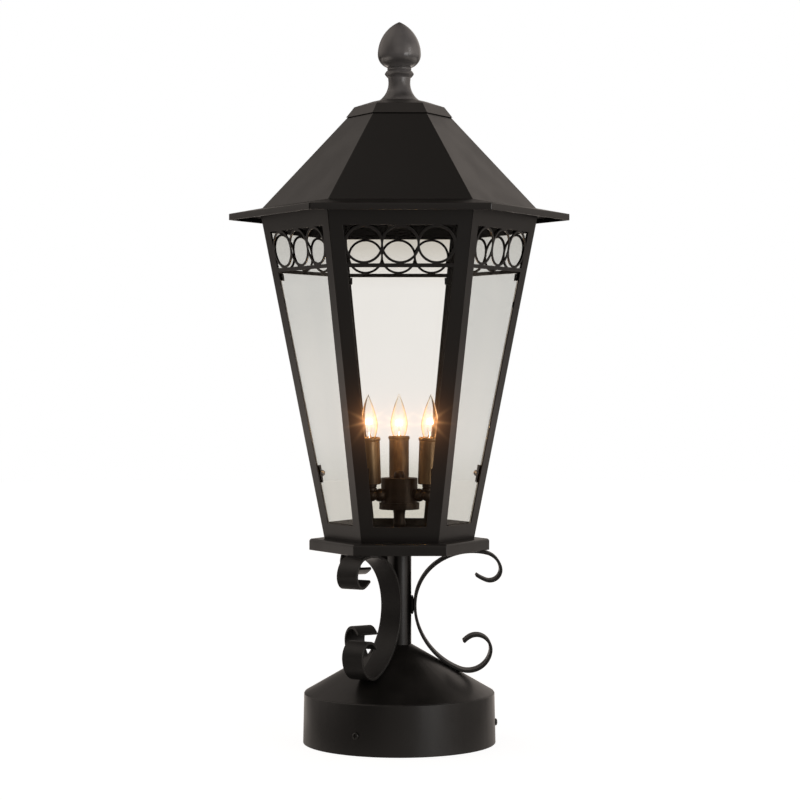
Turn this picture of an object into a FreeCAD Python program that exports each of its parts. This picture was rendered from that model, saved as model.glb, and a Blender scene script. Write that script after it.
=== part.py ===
import FreeCAD, Part
import math
import os
from FreeCAD import Vector

# Six-sided street lantern on a pier base. Millimetres, +Z up.
# The origin is the centre of the base's underside. The lantern's corners point
# along 0, 60, 120 ... degrees from +X, so its front pane faces -Y.

# Whole object
sides = 6
scrolls = 3
candles = 3

# Pier plate, which is bolted to the pier and carries the rest
plate_thickness = 4.0
plate_clearance = 0.8
bolt_circle_r = 76.2
bolt_hole_r = 4.4
bolt_count = 4
first_bolt = 45.0
wire_hole_r = 12.0
ear_width = 20.0
ear_height = 33.0
ear_fold_r = 3.0
ear_corner_r = 5.0
ear_relief = 2.5
ear_clearance = 0.3
ear_angles = (0.0, 116.5, 243.5)

# Base collar and cone
collar_height = 55.5
collar_top_r = 105.7
collar_bottom_r = 106.9
collar_wall = 2.0
cone_pitch = 30.0
cone_wall = 2.0
seam_bevel = 0.7

# Screws that hold the collar to the plate's ears
collar_screw_z = 21.5
collar_screw_r = 2.4
collar_screw_head_r = 3.9
collar_screw_head = 2.6
collar_screw_edge = 0.8
collar_screw_length = 12.0
screw_clearance = 0.3
dome_flat_r = 0.4

# Stem pipe and the bush in its top
pipe_r = 13.35
pipe_wall = 2.9
pipe_tail = 14.0
stem_exposed = 104.3
pipe_clearance = 0.05
bush_length = 15.0

# Scrolls: one flat bar each. Its centre line is bent to arcs that start where the bar
# is nearest the stem and run up to one curl and down to the other, which rests on the cone.
strap_width = 25.4
strap_thickness = 3.2
scroll_seat_gap = 0.3
scroll_stem_gap = 2.4
upper_back_r = 57.7
upper_back_degrees = 55.0
upper_belly_r = 68.3
upper_belly_degrees = 47.8
upper_curl_r = 21.1
upper_curl_degrees = 64.5
upper_eye_r = 12.3
upper_eye_degrees = 123.8
upper_tip_r = 48.2
upper_tip_degrees = 14.6
lower_back_r = 72.2
lower_back_degrees = 20.0
lower_belly_r = 79.2
lower_belly_degrees = 48.6
lower_curl_r = 25.2
lower_curl_degrees = 103.1
lower_eye_r = 15.9
lower_eye_degrees = 132.2
lower_tip_r = 32.7
lower_tip_degrees = 13.0
weld_r = 2.6
stem_weld_length = 13.5
stem_weld_spread = 4.4
cone_weld_length = 16.0
cone_weld_offset = 9.0

# Floor pan, a folded tray with its walls turned down
pan_corner_r = 100.2
pan_depth = 12.7
pan_wall = 2.0
pan_fold_r = 3.0

# Lantern body: six sheets cut to the same pattern and joined at the corners
body_height = 353.5
body_top_r = 152.8
body_bottom_r = 83.2
panel_sheet = 1.5
corner_gap = 0.04
stile_width = 14.7
top_band = 14.2
frieze_height = 40.2
frieze_rail = 4.1
sill_height = 17.6
rings = 3
ring_overlap = 0.3
ring_strip = 2.6
ring_pitch = 38.4
tab_width = 12.0
tab_from_corner = 31.0

# Panes and what holds them
glass_thickness = 2.4
glass_gap = 0.3
glass_lap_side = 3.5
glass_lap_top = 3.0
glass_lap_bottom = 8.0
clip_length = 19.0
clip_thickness = 1.2
clip_lap = 4.5
clip_heel = 5.6
clip_from_sill = 54.5
clip_stud_r = 1.5
clip_stud_gap = 0.3
clip_nut_r = 3.3
clip_nut_height = 7.0
clip_nut_straight = 4.2
tab_length = 8.0
tab_below_rail = 1.5
tab_lap = 6.0

# Roof, one folded shell with a flat eave and a turned-down lip
roof_sheet = 1.2
roof_seat = 12.9
roof_break_r = 152.0
eave_r = 189.2
eave_drop = 6.4
eave_lip = 7.0
eave_fold_r = 2.7
roof_rise = 100.8
roof_top_r = 57.0

# Crown cap over the roof's flat top
cap_sheet = 1.5
cap_skirt_r = 59.1
cap_crown_r = 50.0
cap_seat_r = 29.0
cap_skirt = 11.4
cap_crown = 6.4
cap_edge_gap = 1.7

# Finial, threaded on the rod that ties the roof down
finial_lip = 0.5
finial_flare_r = 24.0
finial_waist_r = 12.1
finial_waist_height = 20.6
finial_step_r = 12.5
finial_step_height = 25.9
finial_bead_r = 16.2
finial_bead_height = 30.2
finial_groove_r = 12.7
finial_groove_height = 34.6
finial_ring_r = 13.4
finial_arc_bulge = 0.5
finial_ball_r = 23.9
finial_ball_height = 51.8
finial_ball_under_r = 15.1
finial_tip_height = 87.8
finial_tip_r = 0.5
rod_r = 3.0
rod_in_finial = 24.0
thread_clearance = 0.05
rod_hole_clearance = 0.4

# Bar across the top of the body, which anchors the rod
bar_width = 25.0
bar_thickness = 3.0
bar_leg = 9.5
bar_clearance = 0.1
rod_below_bar = 2.0
nut_flats = 10.0
nut_height = 5.0

# Candle cluster on a nipple through the pan
nipple_r = 5.1
nipple_bore_r = 3.2
nipple_below_pan = 14.0
neck_height = 32.6
neck_foot = 2.0
neck_r = 7.3
neck_waist_r = 6.3
cover_r = 22.3
cover_height = 7.5
cover_wall = 1.2
hub_r = 20.2
hub_height = 27.4
hub_wall = 1.2
knob_r = 5.9
knob_skirt = 2.6
knob_height = 7.8
knob_top_r = 3.4
nipple_in_knob = 4.0

# One candle, measured from the middle of the ball under it
candle_circle_r = 35.5
candle_lean = 2.4
first_candle = 90.0
arm_height = 8.8
hub_ball_r = 7.3
hub_ball_place_r = 24.8
candle_ball_r = 6.7
arm_tube_r = 3.2
cup_r = 6.1
cup_groove = 0.7
cup_bottom = 5.2
cup_top = 12.2
saucer_r = 10.6
saucer_thickness = 1.0
sleeve_r = 11.1
sleeve_wall = 1.1
sleeve_length = 50.8
sleeve_rim_r = 12.1
sleeve_rim_height = 4.3
socket_r = 8.4
socket_base = 24.6
socket_below_rim = 2.0
bulb_base_r = 5.95
bulb_base_length = 23.5
bulb_clearance = 0.25
bulb_r = 9.8
bulb_neck_r = 5.6
bulb_shoulder = 18.0
bulb_shoulder_r = 8.6
bulb_taper_r = 6.2
bulb_length = 50.0
bulb_tip_r = 0.7
bulb_wall = 0.7
mount_stem_r = 3.4
mount_stem_top_r = 1.1
mount_stem_length = 9.0
mount_press = 1.0
filament_height = 17.5
filament_span = 5.0
filament_wire_r = 0.3
filament_r = 0.5

# Heights that the pieces share
cone_top_z = collar_height + (collar_top_r - pipe_r) * math.tan(math.radians(cone_pitch))
pan_bottom_z = cone_top_z + stem_exposed
pan_top_z = pan_bottom_z + pan_depth
body_top_z = pan_top_z + body_height
roof_break_z = body_top_z + roof_seat
roof_top_z = roof_break_z + roof_rise
cover_bottom_z = pan_top_z + neck_height
hub_bottom_z = cover_bottom_z + cover_height
hub_top_z = hub_bottom_z + hub_height
arm_z = hub_bottom_z + arm_height
bar_top_z = body_top_z

# Cosine of half a corner: apothem over corner radius of the hexagon
flat_share = math.cos(math.pi / sides)


def roof_z_at(corner_r):
    """Height of the roof's outer face where the hexagon has this corner radius."""
    share = (roof_break_r - corner_r) / (roof_break_r - roof_top_r)
    return roof_break_z + roof_rise * share


# Arcs of a scroll's centre line (radius, degrees), from the stem to the tip of each curl
upper_arcs = [(upper_back_r, upper_back_degrees), (upper_belly_r, upper_belly_degrees),
              (upper_curl_r, upper_curl_degrees), (upper_eye_r, upper_eye_degrees),
              (upper_tip_r, upper_tip_degrees)]
lower_arcs = [(lower_back_r, lower_back_degrees), (lower_belly_r, lower_belly_degrees),
              (lower_curl_r, lower_curl_degrees), (lower_eye_r, lower_eye_degrees),
              (lower_tip_r, lower_tip_degrees)]

cap_bottom_z = roof_z_at(cap_skirt_r) + cap_edge_gap
cap_top_z = cap_bottom_z + cap_skirt + cap_crown


def turned(shape, degrees):
    """Copy of a shape, turned about the lantern's axis."""
    copy = shape.copy()
    copy.rotate(Vector(0, 0, 0), Vector(0, 0, 1), degrees)
    return copy


def cylinder(radius, bottom, top):
    """Upright cylinder on the axis between two heights."""
    return Part.makeCylinder(radius, top - bottom, Vector(0, 0, bottom))


def tube(radius, wall, bottom, top):
    """Upright pipe on the axis between two heights."""
    return cylinder(radius, bottom, top).cut(cylinder(radius - wall, bottom, top))


def revolved(edges):
    """Solid of revolution from edges of a closed outline in the XZ plane."""
    face = Part.Face(Part.Wire(edges))
    return face.revolve(Vector(0, 0, 0), Vector(0, 0, 1), 360)


def line(start, end):
    """Straight edge between two (radius, height) points."""
    return Part.makeLine(Vector(start[0], 0, start[1]), Vector(end[0], 0, end[1]))


def arc(start, middle, end):
    """Circular edge through three (radius, height) points."""
    return Part.Arc(*[Vector(x, 0, z) for x, z in (start, middle, end)]).toShape()


def dome_edges(rim_r, low, flat_r, high):
    """Outline of a domed end: an arc about a point of the axis, then a flat top to the axis."""
    centre = (flat_r ** 2 + high ** 2 - rim_r ** 2 - low ** 2) / (2 * (high - low))
    radius = math.hypot(rim_r, low - centre)
    angle = (math.atan2(rim_r, low - centre) + math.atan2(flat_r, high - centre)) / 2
    middle = (radius * math.sin(angle), centre + radius * math.cos(angle))
    return [arc((rim_r, low), middle, (flat_r, high)), line((flat_r, high), (0, high))]


def polygon(points):
    """Edges of a closed outline through (radius, height) points."""
    return [line(points[i], points[(i + 1) % len(points)]) for i in range(len(points))]


def hexagon(corner_r, z):
    """Corners of a level hexagon."""
    step = 2 * math.pi / sides
    return [Vector(corner_r * math.cos(step * i), corner_r * math.sin(step * i), z) for i in range(sides)]


def hex_solid(profile):
    """Solid with a hexagon at each (corner radius, height) of the profile, bottom to top."""
    rows = [hexagon(r, z) for r, z in profile]
    faces = [Part.Face(Part.makePolygon(row + [row[0]])) for row in (rows[0][::-1], rows[-1])]
    for low, high in zip(rows, rows[1:]):
        for i in range(sides):
            j = (i + 1) % sides
            corners = [low[i], low[j], high[j], high[i], low[i]]
            faces.append(Part.Face(Part.makePolygon(corners)))
    return Part.Solid(Part.Shell(faces))


def inner_profile(profile, sheet):
    """The profile moved inwards by a sheet's thickness, square to each face."""
    points = [(r * flat_share, z) for r, z in profile]
    normals = []
    for (r0, z0), (r1, z1) in zip(points, points[1:]):
        length = math.hypot(r1 - r0, z1 - z0)
        normals.append(((z0 - z1) / length, (r1 - r0) / length))
    moved = []
    for i, (r, z) in enumerate(points):
        before = normals[max(i - 1, 0)]
        after = normals[min(i, len(normals) - 1)]
        share = sheet / (1 + before[0] * after[0] + before[1] * after[1])
        moved.append(((r + share * (before[0] + after[0])) / flat_share, z + share * (before[1] + after[1])))
    return moved


def pier_plate():
    """Disc with four bolt holes and three ears folded up inside the collar."""
    plate_r = collar_least_r(plate_thickness) - collar_wall - plate_clearance
    plate = cylinder(plate_r, 0, plate_thickness)
    plate = plate.cut(cylinder(wire_hole_r, 0, plate_thickness))
    for i in range(bolt_count):
        hole = cylinder(bolt_hole_r, 0, plate_thickness)
        hole.translate(Vector(bolt_circle_r, 0, 0))
        plate = plate.cut(turned(hole, first_bolt + 360 / bolt_count * i))
    notch_half = ear_width / 2 + ear_relief
    for angle in ear_angles:
        notch = Part.makeBox(plate_r, 2 * notch_half, plate_thickness, Vector(ear_fold_x(), -notch_half, 0))
        plate = plate.cut(turned(notch, angle))
        plate = plate.fuse(turned(plate_ear(), angle))
    return plate.removeSplitter()


def ear_face_x():
    """Distance of an ear's outer face from the axis, so that its edges clear the collar."""
    collar_inner_r = collar_least_r(ear_height) - collar_wall - ear_clearance
    return math.sqrt(collar_inner_r ** 2 - (ear_width / 2) ** 2)


def ear_fold_x():
    """Distance from the axis at which an ear's fold leaves the flat plate."""
    return ear_face_x() - plate_thickness - ear_fold_r


def plate_ear():
    """One ear, folded up and rounded on top, with the hole that its screw threads into."""
    face_x = ear_face_x()
    inner_x = face_x - plate_thickness
    fold_x = ear_fold_x()
    centre_z = plate_thickness + ear_fold_r
    reach = math.sqrt(0.5)
    outer_r = ear_fold_r + plate_thickness
    outline = [line((fold_x, 0), (fold_x, plate_thickness)),
               arc((fold_x, plate_thickness), (fold_x + ear_fold_r * reach, centre_z - ear_fold_r * reach),
                   (inner_x, centre_z)),
               line((inner_x, centre_z), (inner_x, ear_height)),
               line((inner_x, ear_height), (face_x, ear_height)),
               line((face_x, ear_height), (face_x, centre_z)),
               arc((face_x, centre_z), (fold_x + outer_r * reach, centre_z - outer_r * reach), (fold_x, 0))]
    ear = Part.Face(Part.Wire(outline)).extrude(Vector(0, ear_width, 0))
    ear.translate(Vector(0, -ear_width / 2, 0))
    corners = [edge for edge in edges_at(ear, ear_height)
               if abs(edge.tangentAt(edge.FirstParameter).x) > reach]
    ear = ear.makeFillet(ear_corner_r, corners)
    hole = Part.makeCylinder(collar_screw_r + thread_clearance, plate_thickness,
                             Vector(inner_x, 0, collar_screw_z), Vector(1, 0, 0))
    return ear.cut(hole)


def collar_r_at(z):
    """Outer radius of the slightly tapered collar."""
    return collar_bottom_r + (collar_top_r - collar_bottom_r) * z / collar_height


def collar_least_r(z):
    """Smallest outer radius of the collar between its foot and a height."""
    return min(collar_bottom_r, collar_r_at(z))


def collar_screw_seat():
    """Distance from the axis of the plane that a screw's flat head seats on."""
    return max(collar_r_at(collar_screw_z - collar_screw_head_r),
               collar_r_at(collar_screw_z + collar_screw_head_r))


def base_collar():
    """Rolled band with its top edge bevelled at the seam, and three screw holes."""
    inner = [(collar_bottom_r - collar_wall, 0), (collar_top_r - collar_wall, collar_height)]
    outer = [(collar_top_r - seam_bevel, collar_height), (collar_r_at(collar_height - seam_bevel),
             collar_height - seam_bevel), (collar_bottom_r, 0)]
    collar = revolved(polygon(inner + outer))
    for angle in ear_angles:
        hole = Part.makeCylinder(collar_screw_r + screw_clearance, collar_screw_seat(),
                                 Vector(ear_face_x(), 0, collar_screw_z), Vector(1, 0, 0))
        collar = collar.cut(turned(hole, angle))
    return collar


def cone_z_at(radius):
    """Height of the cone's outer face at a distance from the axis."""
    return collar_height + (collar_top_r - radius) * math.tan(math.radians(cone_pitch))


def base_cone():
    """Spun cone on the collar, with the hole that the stem stands in."""
    upright = cone_wall / math.cos(math.radians(cone_pitch))
    hole_r = pipe_r + pipe_clearance
    rim_r = collar_top_r - seam_bevel
    foot_r = rim_r - upright / math.tan(math.radians(cone_pitch))
    return revolved(polygon([(rim_r, collar_height), (rim_r, cone_z_at(rim_r)), (hole_r, cone_z_at(hole_r)),
                             (hole_r, cone_z_at(hole_r) - upright), (foot_r, collar_height)]))


def collar_screws():
    """Three pan-head screws through the collar into the ears."""
    head = [line((0, 0), (collar_screw_head_r, 0)),
            line((collar_screw_head_r, 0), (collar_screw_head_r, collar_screw_edge))]
    head += dome_edges(collar_screw_head_r, collar_screw_edge, dome_flat_r, collar_screw_head)
    head.append(line((0, collar_screw_head), (0, 0)))
    screw = revolved(head).fuse(cylinder(collar_screw_r, -collar_screw_length, 0))
    screw.rotate(Vector(0, 0, 0), Vector(0, 1, 0), 90)
    screw.translate(Vector(collar_screw_seat(), 0, collar_screw_z))
    return [turned(screw, angle) for angle in ear_angles]


def stem_pipe():
    """Pipe from inside the cone to the underside of the pan."""
    return tube(pipe_r, pipe_wall, cone_top_z - pipe_tail, pan_top_z - pan_wall)


def pipe_bush():
    """Threaded bush in the top of the pipe, which holds the cluster's nipple."""
    top = pan_top_z - pan_wall
    bush = cylinder(pipe_r - pipe_wall - pipe_clearance, top - bush_length, top)
    return bush.cut(cylinder(nipple_r + thread_clearance, top - bush_length, top))


def bar_arcs(arcs, up):
    """Centres, radii and end angles of half a scroll's centre line, from its nearest point to the stem."""
    x = pipe_r + scroll_stem_gap + strap_thickness / 2
    z = 0
    angle = math.pi
    found = []
    for radius, degrees in arcs:
        centre = (x - radius * math.cos(angle), z - radius * math.sin(angle))
        end = angle - math.radians(degrees) * (1 if up else -1)
        found.append((centre, radius, angle, end))
        x = centre[0] + radius * math.cos(end)
        z = centre[1] + radius * math.sin(end)
        angle = end
    return found


def face_of_bar(found, offset):
    """Edges of one face of the bent bar, the centre line's arcs with the offset added."""
    edges = []
    for (cx, cz), radius, start, end in found:
        r = radius + offset
        points = [(cx + r * math.cos(a), cz + r * math.sin(a)) for a in (start, (start + end) / 2, end)]
        edges.append(arc(*points))
    return edges


def scroll_bar():
    """One C-shaped scroll in the XZ plane, bent from a flat bar."""
    half = strap_thickness / 2
    upper = bar_arcs(upper_arcs, True)
    lower = bar_arcs(lower_arcs, False)
    outline = face_of_bar(upper, half) + face_of_bar(lower, half)
    outline += face_of_bar(upper, -half) + face_of_bar(lower, -half)
    for (cx, cz), radius, _, end in (upper[-1], lower[-1]):
        ends = [(cx + r * math.cos(end), cz + r * math.sin(end)) for r in (radius - half, radius + half)]
        outline.append(line(*ends))
    wire = Part.Wire(Part.__sortEdges__(outline))
    bar = Part.Face(wire).extrude(Vector(0, strap_width, 0))
    bar.translate(Vector(0, -strap_width / 2, stem_weld_z()))
    return bar


def stem_weld_z():
    """Height at which a bar is nearest the stem when its lower curl seats on the cone."""
    x, z = cone_contact()
    upright = (strap_thickness / 2 + scroll_seat_gap) / math.cos(math.radians(cone_pitch))
    return cone_z_at(x) + upright - z


def cone_contact():
    """Point of the bar's centre line nearest to the cone, its height measured from the stem weld."""
    angle = math.pi * 1.5 - math.radians(cone_pitch)
    for (cx, cz), radius, start, end in bar_arcs(lower_arcs, False):
        if start <= angle <= end:
            return cx + radius * math.cos(angle), cz + radius * math.sin(angle)


def scroll_welds():
    """Beads on both sides of each bar at the stem, and one under each bar on the cone."""
    pipe = cylinder(pipe_r, 0, pan_top_z)
    cone = Part.makeCone(collar_top_r, pipe_r, cone_z_at(pipe_r) - collar_height, Vector(0, 0, collar_height))
    bar = scroll_bar()
    beads = []
    for side in (-1, 1):
        x = pipe_r + scroll_stem_gap / 2
        y = side * stem_weld_spread
        low = stem_weld_z() - stem_weld_length / 2
        bead = Part.makeCylinder(weld_r, stem_weld_length, Vector(x, y, low))
        bead = bead.fuse([Part.makeSphere(weld_r, Vector(x, y, z)) for z in (low, low + stem_weld_length)])
        beads.append(bead.cut([pipe, bar]))
    x = cone_contact()[0] + cone_weld_offset
    start = Vector(x, -cone_weld_length / 2, cone_z_at(x))
    bead = Part.makeCylinder(weld_r, cone_weld_length, start, Vector(0, 1, 0))
    beads.append(bead.cut([cone, bar]))
    solids = [max(bead.Solids, key=lambda solid: solid.Volume) for bead in beads]
    return [turned(solid, 360 / scrolls * i) for i in range(scrolls) for solid in solids]


def floor_pan():
    """Folded tray with rounded top edges and a hole for the nipple."""
    outer = hex_solid([(pan_corner_r, pan_bottom_z), (pan_corner_r, pan_top_z)])
    outer = outer.makeFillet(pan_fold_r, edges_at(outer, pan_top_z))
    inner_r = pan_corner_r - pan_wall / flat_share
    inner_top = pan_top_z - pan_wall
    inner = hex_solid([(inner_r, pan_bottom_z), (inner_r, inner_top)])
    inner = inner.makeFillet(pan_fold_r - pan_wall, edges_at(inner, inner_top))
    hole = cylinder(nipple_r + screw_clearance, pan_bottom_z, pan_top_z)
    return outer.cut([inner, hole])


def edges_at(shape, z):
    """Edges of a shape that lie level at a height."""
    return [edge for edge in shape.Edges if all(abs(v.Point.z - z) < 1e-6 for v in edge.Vertexes)]


# The body's faces lean out: run and length of a face for its height
face_run = (body_top_r - body_bottom_r) * flat_share
face_length = math.hypot(body_height, face_run)
face_lean = math.degrees(math.atan2(face_run, body_height))
stretch = face_length / body_height


def on_face(shape, index):
    """Places a shape drawn flat, x across, y inwards and z up the sheet, on one face of the body."""
    placed = shape.copy()
    placed.rotate(Vector(0, 0, 0), Vector(1, 0, 0), face_lean)
    placed.translate(Vector(0, -body_bottom_r * flat_share, pan_top_z))
    return turned(placed, 360 / sides * index)


def half_width(up):
    """Half of a body face's width, at a distance up the sheet."""
    return (body_bottom_r + (body_top_r - body_bottom_r) * up / face_length) / 2


def sheet_between(inset, low, high, front, back):
    """Flat trapezoid with its sides parallel to the body's corners, between two depths."""
    corners = [(-half_width(low) + inset, low), (half_width(low) - inset, low),
               (half_width(high) - inset, high), (-half_width(high) + inset, high)]
    wire = Part.makePolygon([Vector(x, front, z) for x, z in corners + corners[:1]])
    return Part.Face(wire).extrude(Vector(0, back - front, 0))


# Heights up the sheet: the sill, the rail under the frieze, the frieze and the top band
sill_up = sill_height * stretch
rail_up = (body_height - top_band - frieze_height - frieze_rail) * stretch
frieze_up = (body_height - top_band - frieze_height) * stretch
band_up = (body_height - top_band) * stretch


def frieze_ring(index):
    """Solid disc and bore of one frieze ring, drawn flat."""
    across = ring_pitch * (index - (rings - 1) / 2)
    middle = (frieze_up + band_up) / 2
    outer_r = (band_up - frieze_up) / 2 + ring_overlap
    place = Vector(across, -panel_sheet, middle)
    disc = Part.makeCylinder(outer_r, 3 * panel_sheet, place, Vector(0, 1, 0))
    bore = Part.makeCylinder(outer_r - ring_strip, 3 * panel_sheet, place, Vector(0, 1, 0))
    return disc, bore


def side_panel(index, roof):
    """One sheet with its window and ring frieze cut out, and two tabs that the roof rests on."""
    panel = sheet_between(0, 0, face_length, 0, panel_sheet)
    window = sheet_between(stile_width, sill_up, rail_up, -panel_sheet, 2 * panel_sheet)
    frieze = sheet_between(stile_width, frieze_up, band_up, -panel_sheet, 2 * panel_sheet)
    discs, bores = zip(*[frieze_ring(i) for i in range(rings)])
    panel = panel.cut([window, frieze.cut(list(discs))] + list(bores))
    for side in (-1, 1):
        tab = Part.makeBox(tab_width, panel_sheet, roof_seat - roof_sheet)
        across = side * (half_width(face_length) - tab_from_corner)
        tab.translate(Vector(across - tab_width / 2, 0, face_length))
        panel = panel.fuse(tab)
    panel = on_face(panel.removeSplitter(), 0)
    reach = eave_r
    spread = math.tan(math.pi / sides) * reach
    tip = Vector(0, -corner_gap, 0)
    far = [Vector(side * spread, -reach - corner_gap, 0) for side in (1, -1)]
    wedge = Part.Face(Part.makePolygon([tip] + far + [tip])).extrude(Vector(0, 0, roof_top_z))
    return turned(panel.common(wedge).cut(roof), 360 / sides * index)


def glass_pane(index):
    """Flat pane behind the sheet, lapping the stiles, the top band and the sill."""
    front = panel_sheet + glass_gap
    pane = sheet_between(stile_width - glass_lap_side, sill_up - glass_lap_bottom, band_up + glass_lap_top,
                         front, front + glass_thickness)
    return on_face(pane, index)


def clip_height():
    """Distance up the sheet to the middle of the lower clips."""
    return sill_up + clip_from_sill


def glass_edge(up):
    """Distance of a pane's edge from the middle of its face, at a distance up the sheet."""
    return half_width(up) - stile_width + glass_lap_side


def stud_across():
    """Distance of a lower clip's stud from the middle of its face, just outside the pane."""
    slope = (body_top_r - body_bottom_r) / 2 / face_length
    return glass_edge(clip_height()) + (clip_stud_r + clip_stud_gap) * math.hypot(1, slope)


def glass_clip(back):
    """Plate on a stud, which presses the edge of a pane against the stile."""
    stud_x = stud_across()
    plate = Part.makeBox(clip_lap + clip_heel, clip_thickness, clip_length)
    plate.translate(Vector(stud_x - clip_stud_r - clip_lap, back, clip_height() - clip_length / 2))
    stud = Part.makeCylinder(clip_stud_r, back - panel_sheet + clip_thickness + clip_nut_straight,
                             Vector(stud_x, panel_sheet, clip_height()), Vector(0, 1, 0))
    return plate.fuse(stud)


def glass_tab(back):
    """Small bent tab, fixed to the stile, that the top of a pane slides behind."""
    up = rail_up - tab_below_rail - tab_length / 2
    low = up - tab_length / 2
    outside = glass_edge(up + tab_length / 2) + clip_stud_gap
    tab = Part.makeBox(tab_lap + clip_thickness, clip_thickness, tab_length)
    tab.translate(Vector(outside - tab_lap, back, low))
    post = Part.makeBox(clip_thickness, back - panel_sheet + clip_thickness, tab_length)
    post.translate(Vector(outside, panel_sheet, low))
    return tab.fuse(post).removeSplitter()


def glass_clips():
    """A plate on a stud low down and a fixed tab under the rail, on both stiles of each face."""
    back = panel_sheet + glass_gap + glass_thickness
    pair = [glass_clip(back), glass_tab(back)]
    pair += [shape.mirror(Vector(0, 0, 0), Vector(1, 0, 0)) for shape in pair]
    return [on_face(shape, index) for index in range(sides) for shape in pair]


def clip_nuts():
    """Round thumb nuts with domed ends on the lower clips' studs."""
    back = panel_sheet + glass_gap + glass_thickness + clip_thickness
    bore = clip_stud_r + thread_clearance
    depth = clip_nut_straight + thread_clearance
    outline = [line((bore, 0), (clip_nut_r, 0)), line((clip_nut_r, 0), (clip_nut_r, clip_nut_straight))]
    outline += dome_edges(clip_nut_r, clip_nut_straight, dome_flat_r, clip_nut_height)
    outline += [line((0, clip_nut_height), (0, depth)), line((0, depth), (bore, depth)),
                line((bore, depth), (bore, 0))]
    nut = revolved(outline)
    nut.rotate(Vector(0, 0, 0), Vector(1, 0, 0), -90)
    found = []
    for index in range(sides):
        for side in (-1, 1):
            placed = nut.copy()
            placed.translate(Vector(side * stud_across(), back, clip_height()))
            found.append(on_face(placed, index))
    return found


def roof_outline():
    """Corner radius and height of the roof's outer folds, from the lip to the top."""
    eave_z = roof_break_z - eave_drop
    return [(eave_r, eave_z - eave_lip), (eave_r, eave_z),
            (roof_break_r, roof_break_z), (roof_top_r, roof_top_z)]


def rounded_prism(corner_r, fold_r):
    """Upright hexagon prism over the whole height, with its corners rounded to a fold's radius."""
    prism = hex_solid([(corner_r, 0), (corner_r, cap_top_z)])
    upright = [edge for edge in prism.Edges if edge.Length > cap_top_z / 2]
    return prism.makeFillet(fold_r, upright)


def roof_shell():
    """Folded roof: six slopes, a flat top, a shallow eave and a lip turned down with rounded corners."""
    outer = roof_outline()
    inner = inner_profile(outer + [(0, roof_top_z)], roof_sheet)
    shell = hex_solid(outer).common(rounded_prism(outer[0][0], eave_fold_r))
    shell = shell.cut(hex_solid(inner[:-1]).common(rounded_prism(inner[0][0], eave_fold_r - roof_sheet)))
    return shell.cut(cylinder(rod_r + rod_hole_clearance, roof_break_z, roof_top_z + roof_sheet))


def crown_cap():
    """Pressed cap with a steep skirt, whose edge is cut to sit on the roof's slopes."""
    outer = [(cap_skirt_r, cap_bottom_z), (cap_crown_r, cap_bottom_z + cap_skirt), (cap_seat_r, cap_top_z)]
    inner = inner_profile(outer + [(0, cap_top_z)], cap_sheet)
    cap = hex_solid(outer).cut(hex_solid(inner[:-1]))
    cap = cap.cut(cylinder(rod_r + rod_hole_clearance, cap_bottom_z, cap_top_z + cap_sheet))
    return cap.cut(hex_solid(roof_outline()))


def bulged(start, end):
    """Arc between two (radius, height) points that stands out from the line between them."""
    return arc(start, ((start[0] + end[0]) / 2 + finial_arc_bulge, (start[1] + end[1]) / 2), end)


def finial():
    """Turned acorn finial with a blind threaded hole."""
    base = cap_top_z
    lip = base + finial_lip
    waist = base + finial_waist_height
    ball = base + finial_ball_height
    tip = base + finial_tip_height
    hole_r = rod_r + thread_clearance
    hole_top = base + rod_in_finial + rod_r
    flare_x = finial_waist_r + finial_flare_r
    foot_x = flare_x - math.sqrt(finial_flare_r ** 2 - (waist - lip) ** 2)
    half_z = (waist + lip) / 2
    half_x = flare_x - math.sqrt(finial_flare_r ** 2 - (waist - half_z) ** 2)
    step = (finial_step_r, base + finial_step_height)
    bead = (finial_bead_r, base + finial_bead_height)
    groove = (finial_groove_r, base + finial_groove_height)
    under_x = finial_ball_r - finial_ball_under_r
    under_turn = math.acos((finial_groove_r - under_x) / finial_ball_under_r)
    under_z = ball - finial_ball_under_r * math.sin(under_turn)
    ring_middle = (finial_ring_r, (groove[1] + under_z) / 2)
    under_mid = (under_x + finial_ball_under_r * math.cos(under_turn / 2),
                 ball - finial_ball_under_r * math.sin(under_turn / 2))
    over_in = finial_ball_r - finial_tip_r
    over_r = ((tip - ball) ** 2 + over_in ** 2) / (2 * over_in)
    over_mid_z = (ball + tip) / 2
    over_mid = (finial_ball_r - over_r + math.sqrt(over_r ** 2 - (over_mid_z - ball) ** 2), over_mid_z)
    return revolved([line((hole_r, base), (foot_x, base)),
                     line((foot_x, base), (foot_x, lip)),
                     arc((foot_x, lip), (half_x, half_z), (finial_waist_r, waist)),
                     line((finial_waist_r, waist), step),
                     bulged(step, bead),
                     bulged(bead, groove),
                     arc(groove, ring_middle, (finial_groove_r, under_z)),
                     arc((finial_groove_r, under_z), under_mid, (finial_ball_r, ball)),
                     arc((finial_ball_r, ball), over_mid, (finial_tip_r, tip)),
                     line((finial_tip_r, tip), (0, tip)),
                     line((0, tip), (0, hole_top)),
                     line((0, hole_top), (hole_r, hole_top)),
                     line((hole_r, hole_top), (hole_r, base))])


def roof_rod():
    """Threaded rod from the crossbar to the finial."""
    return cylinder(rod_r, bar_top_z - bar_thickness - rod_below_bar, cap_top_z + rod_in_finial)


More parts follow.
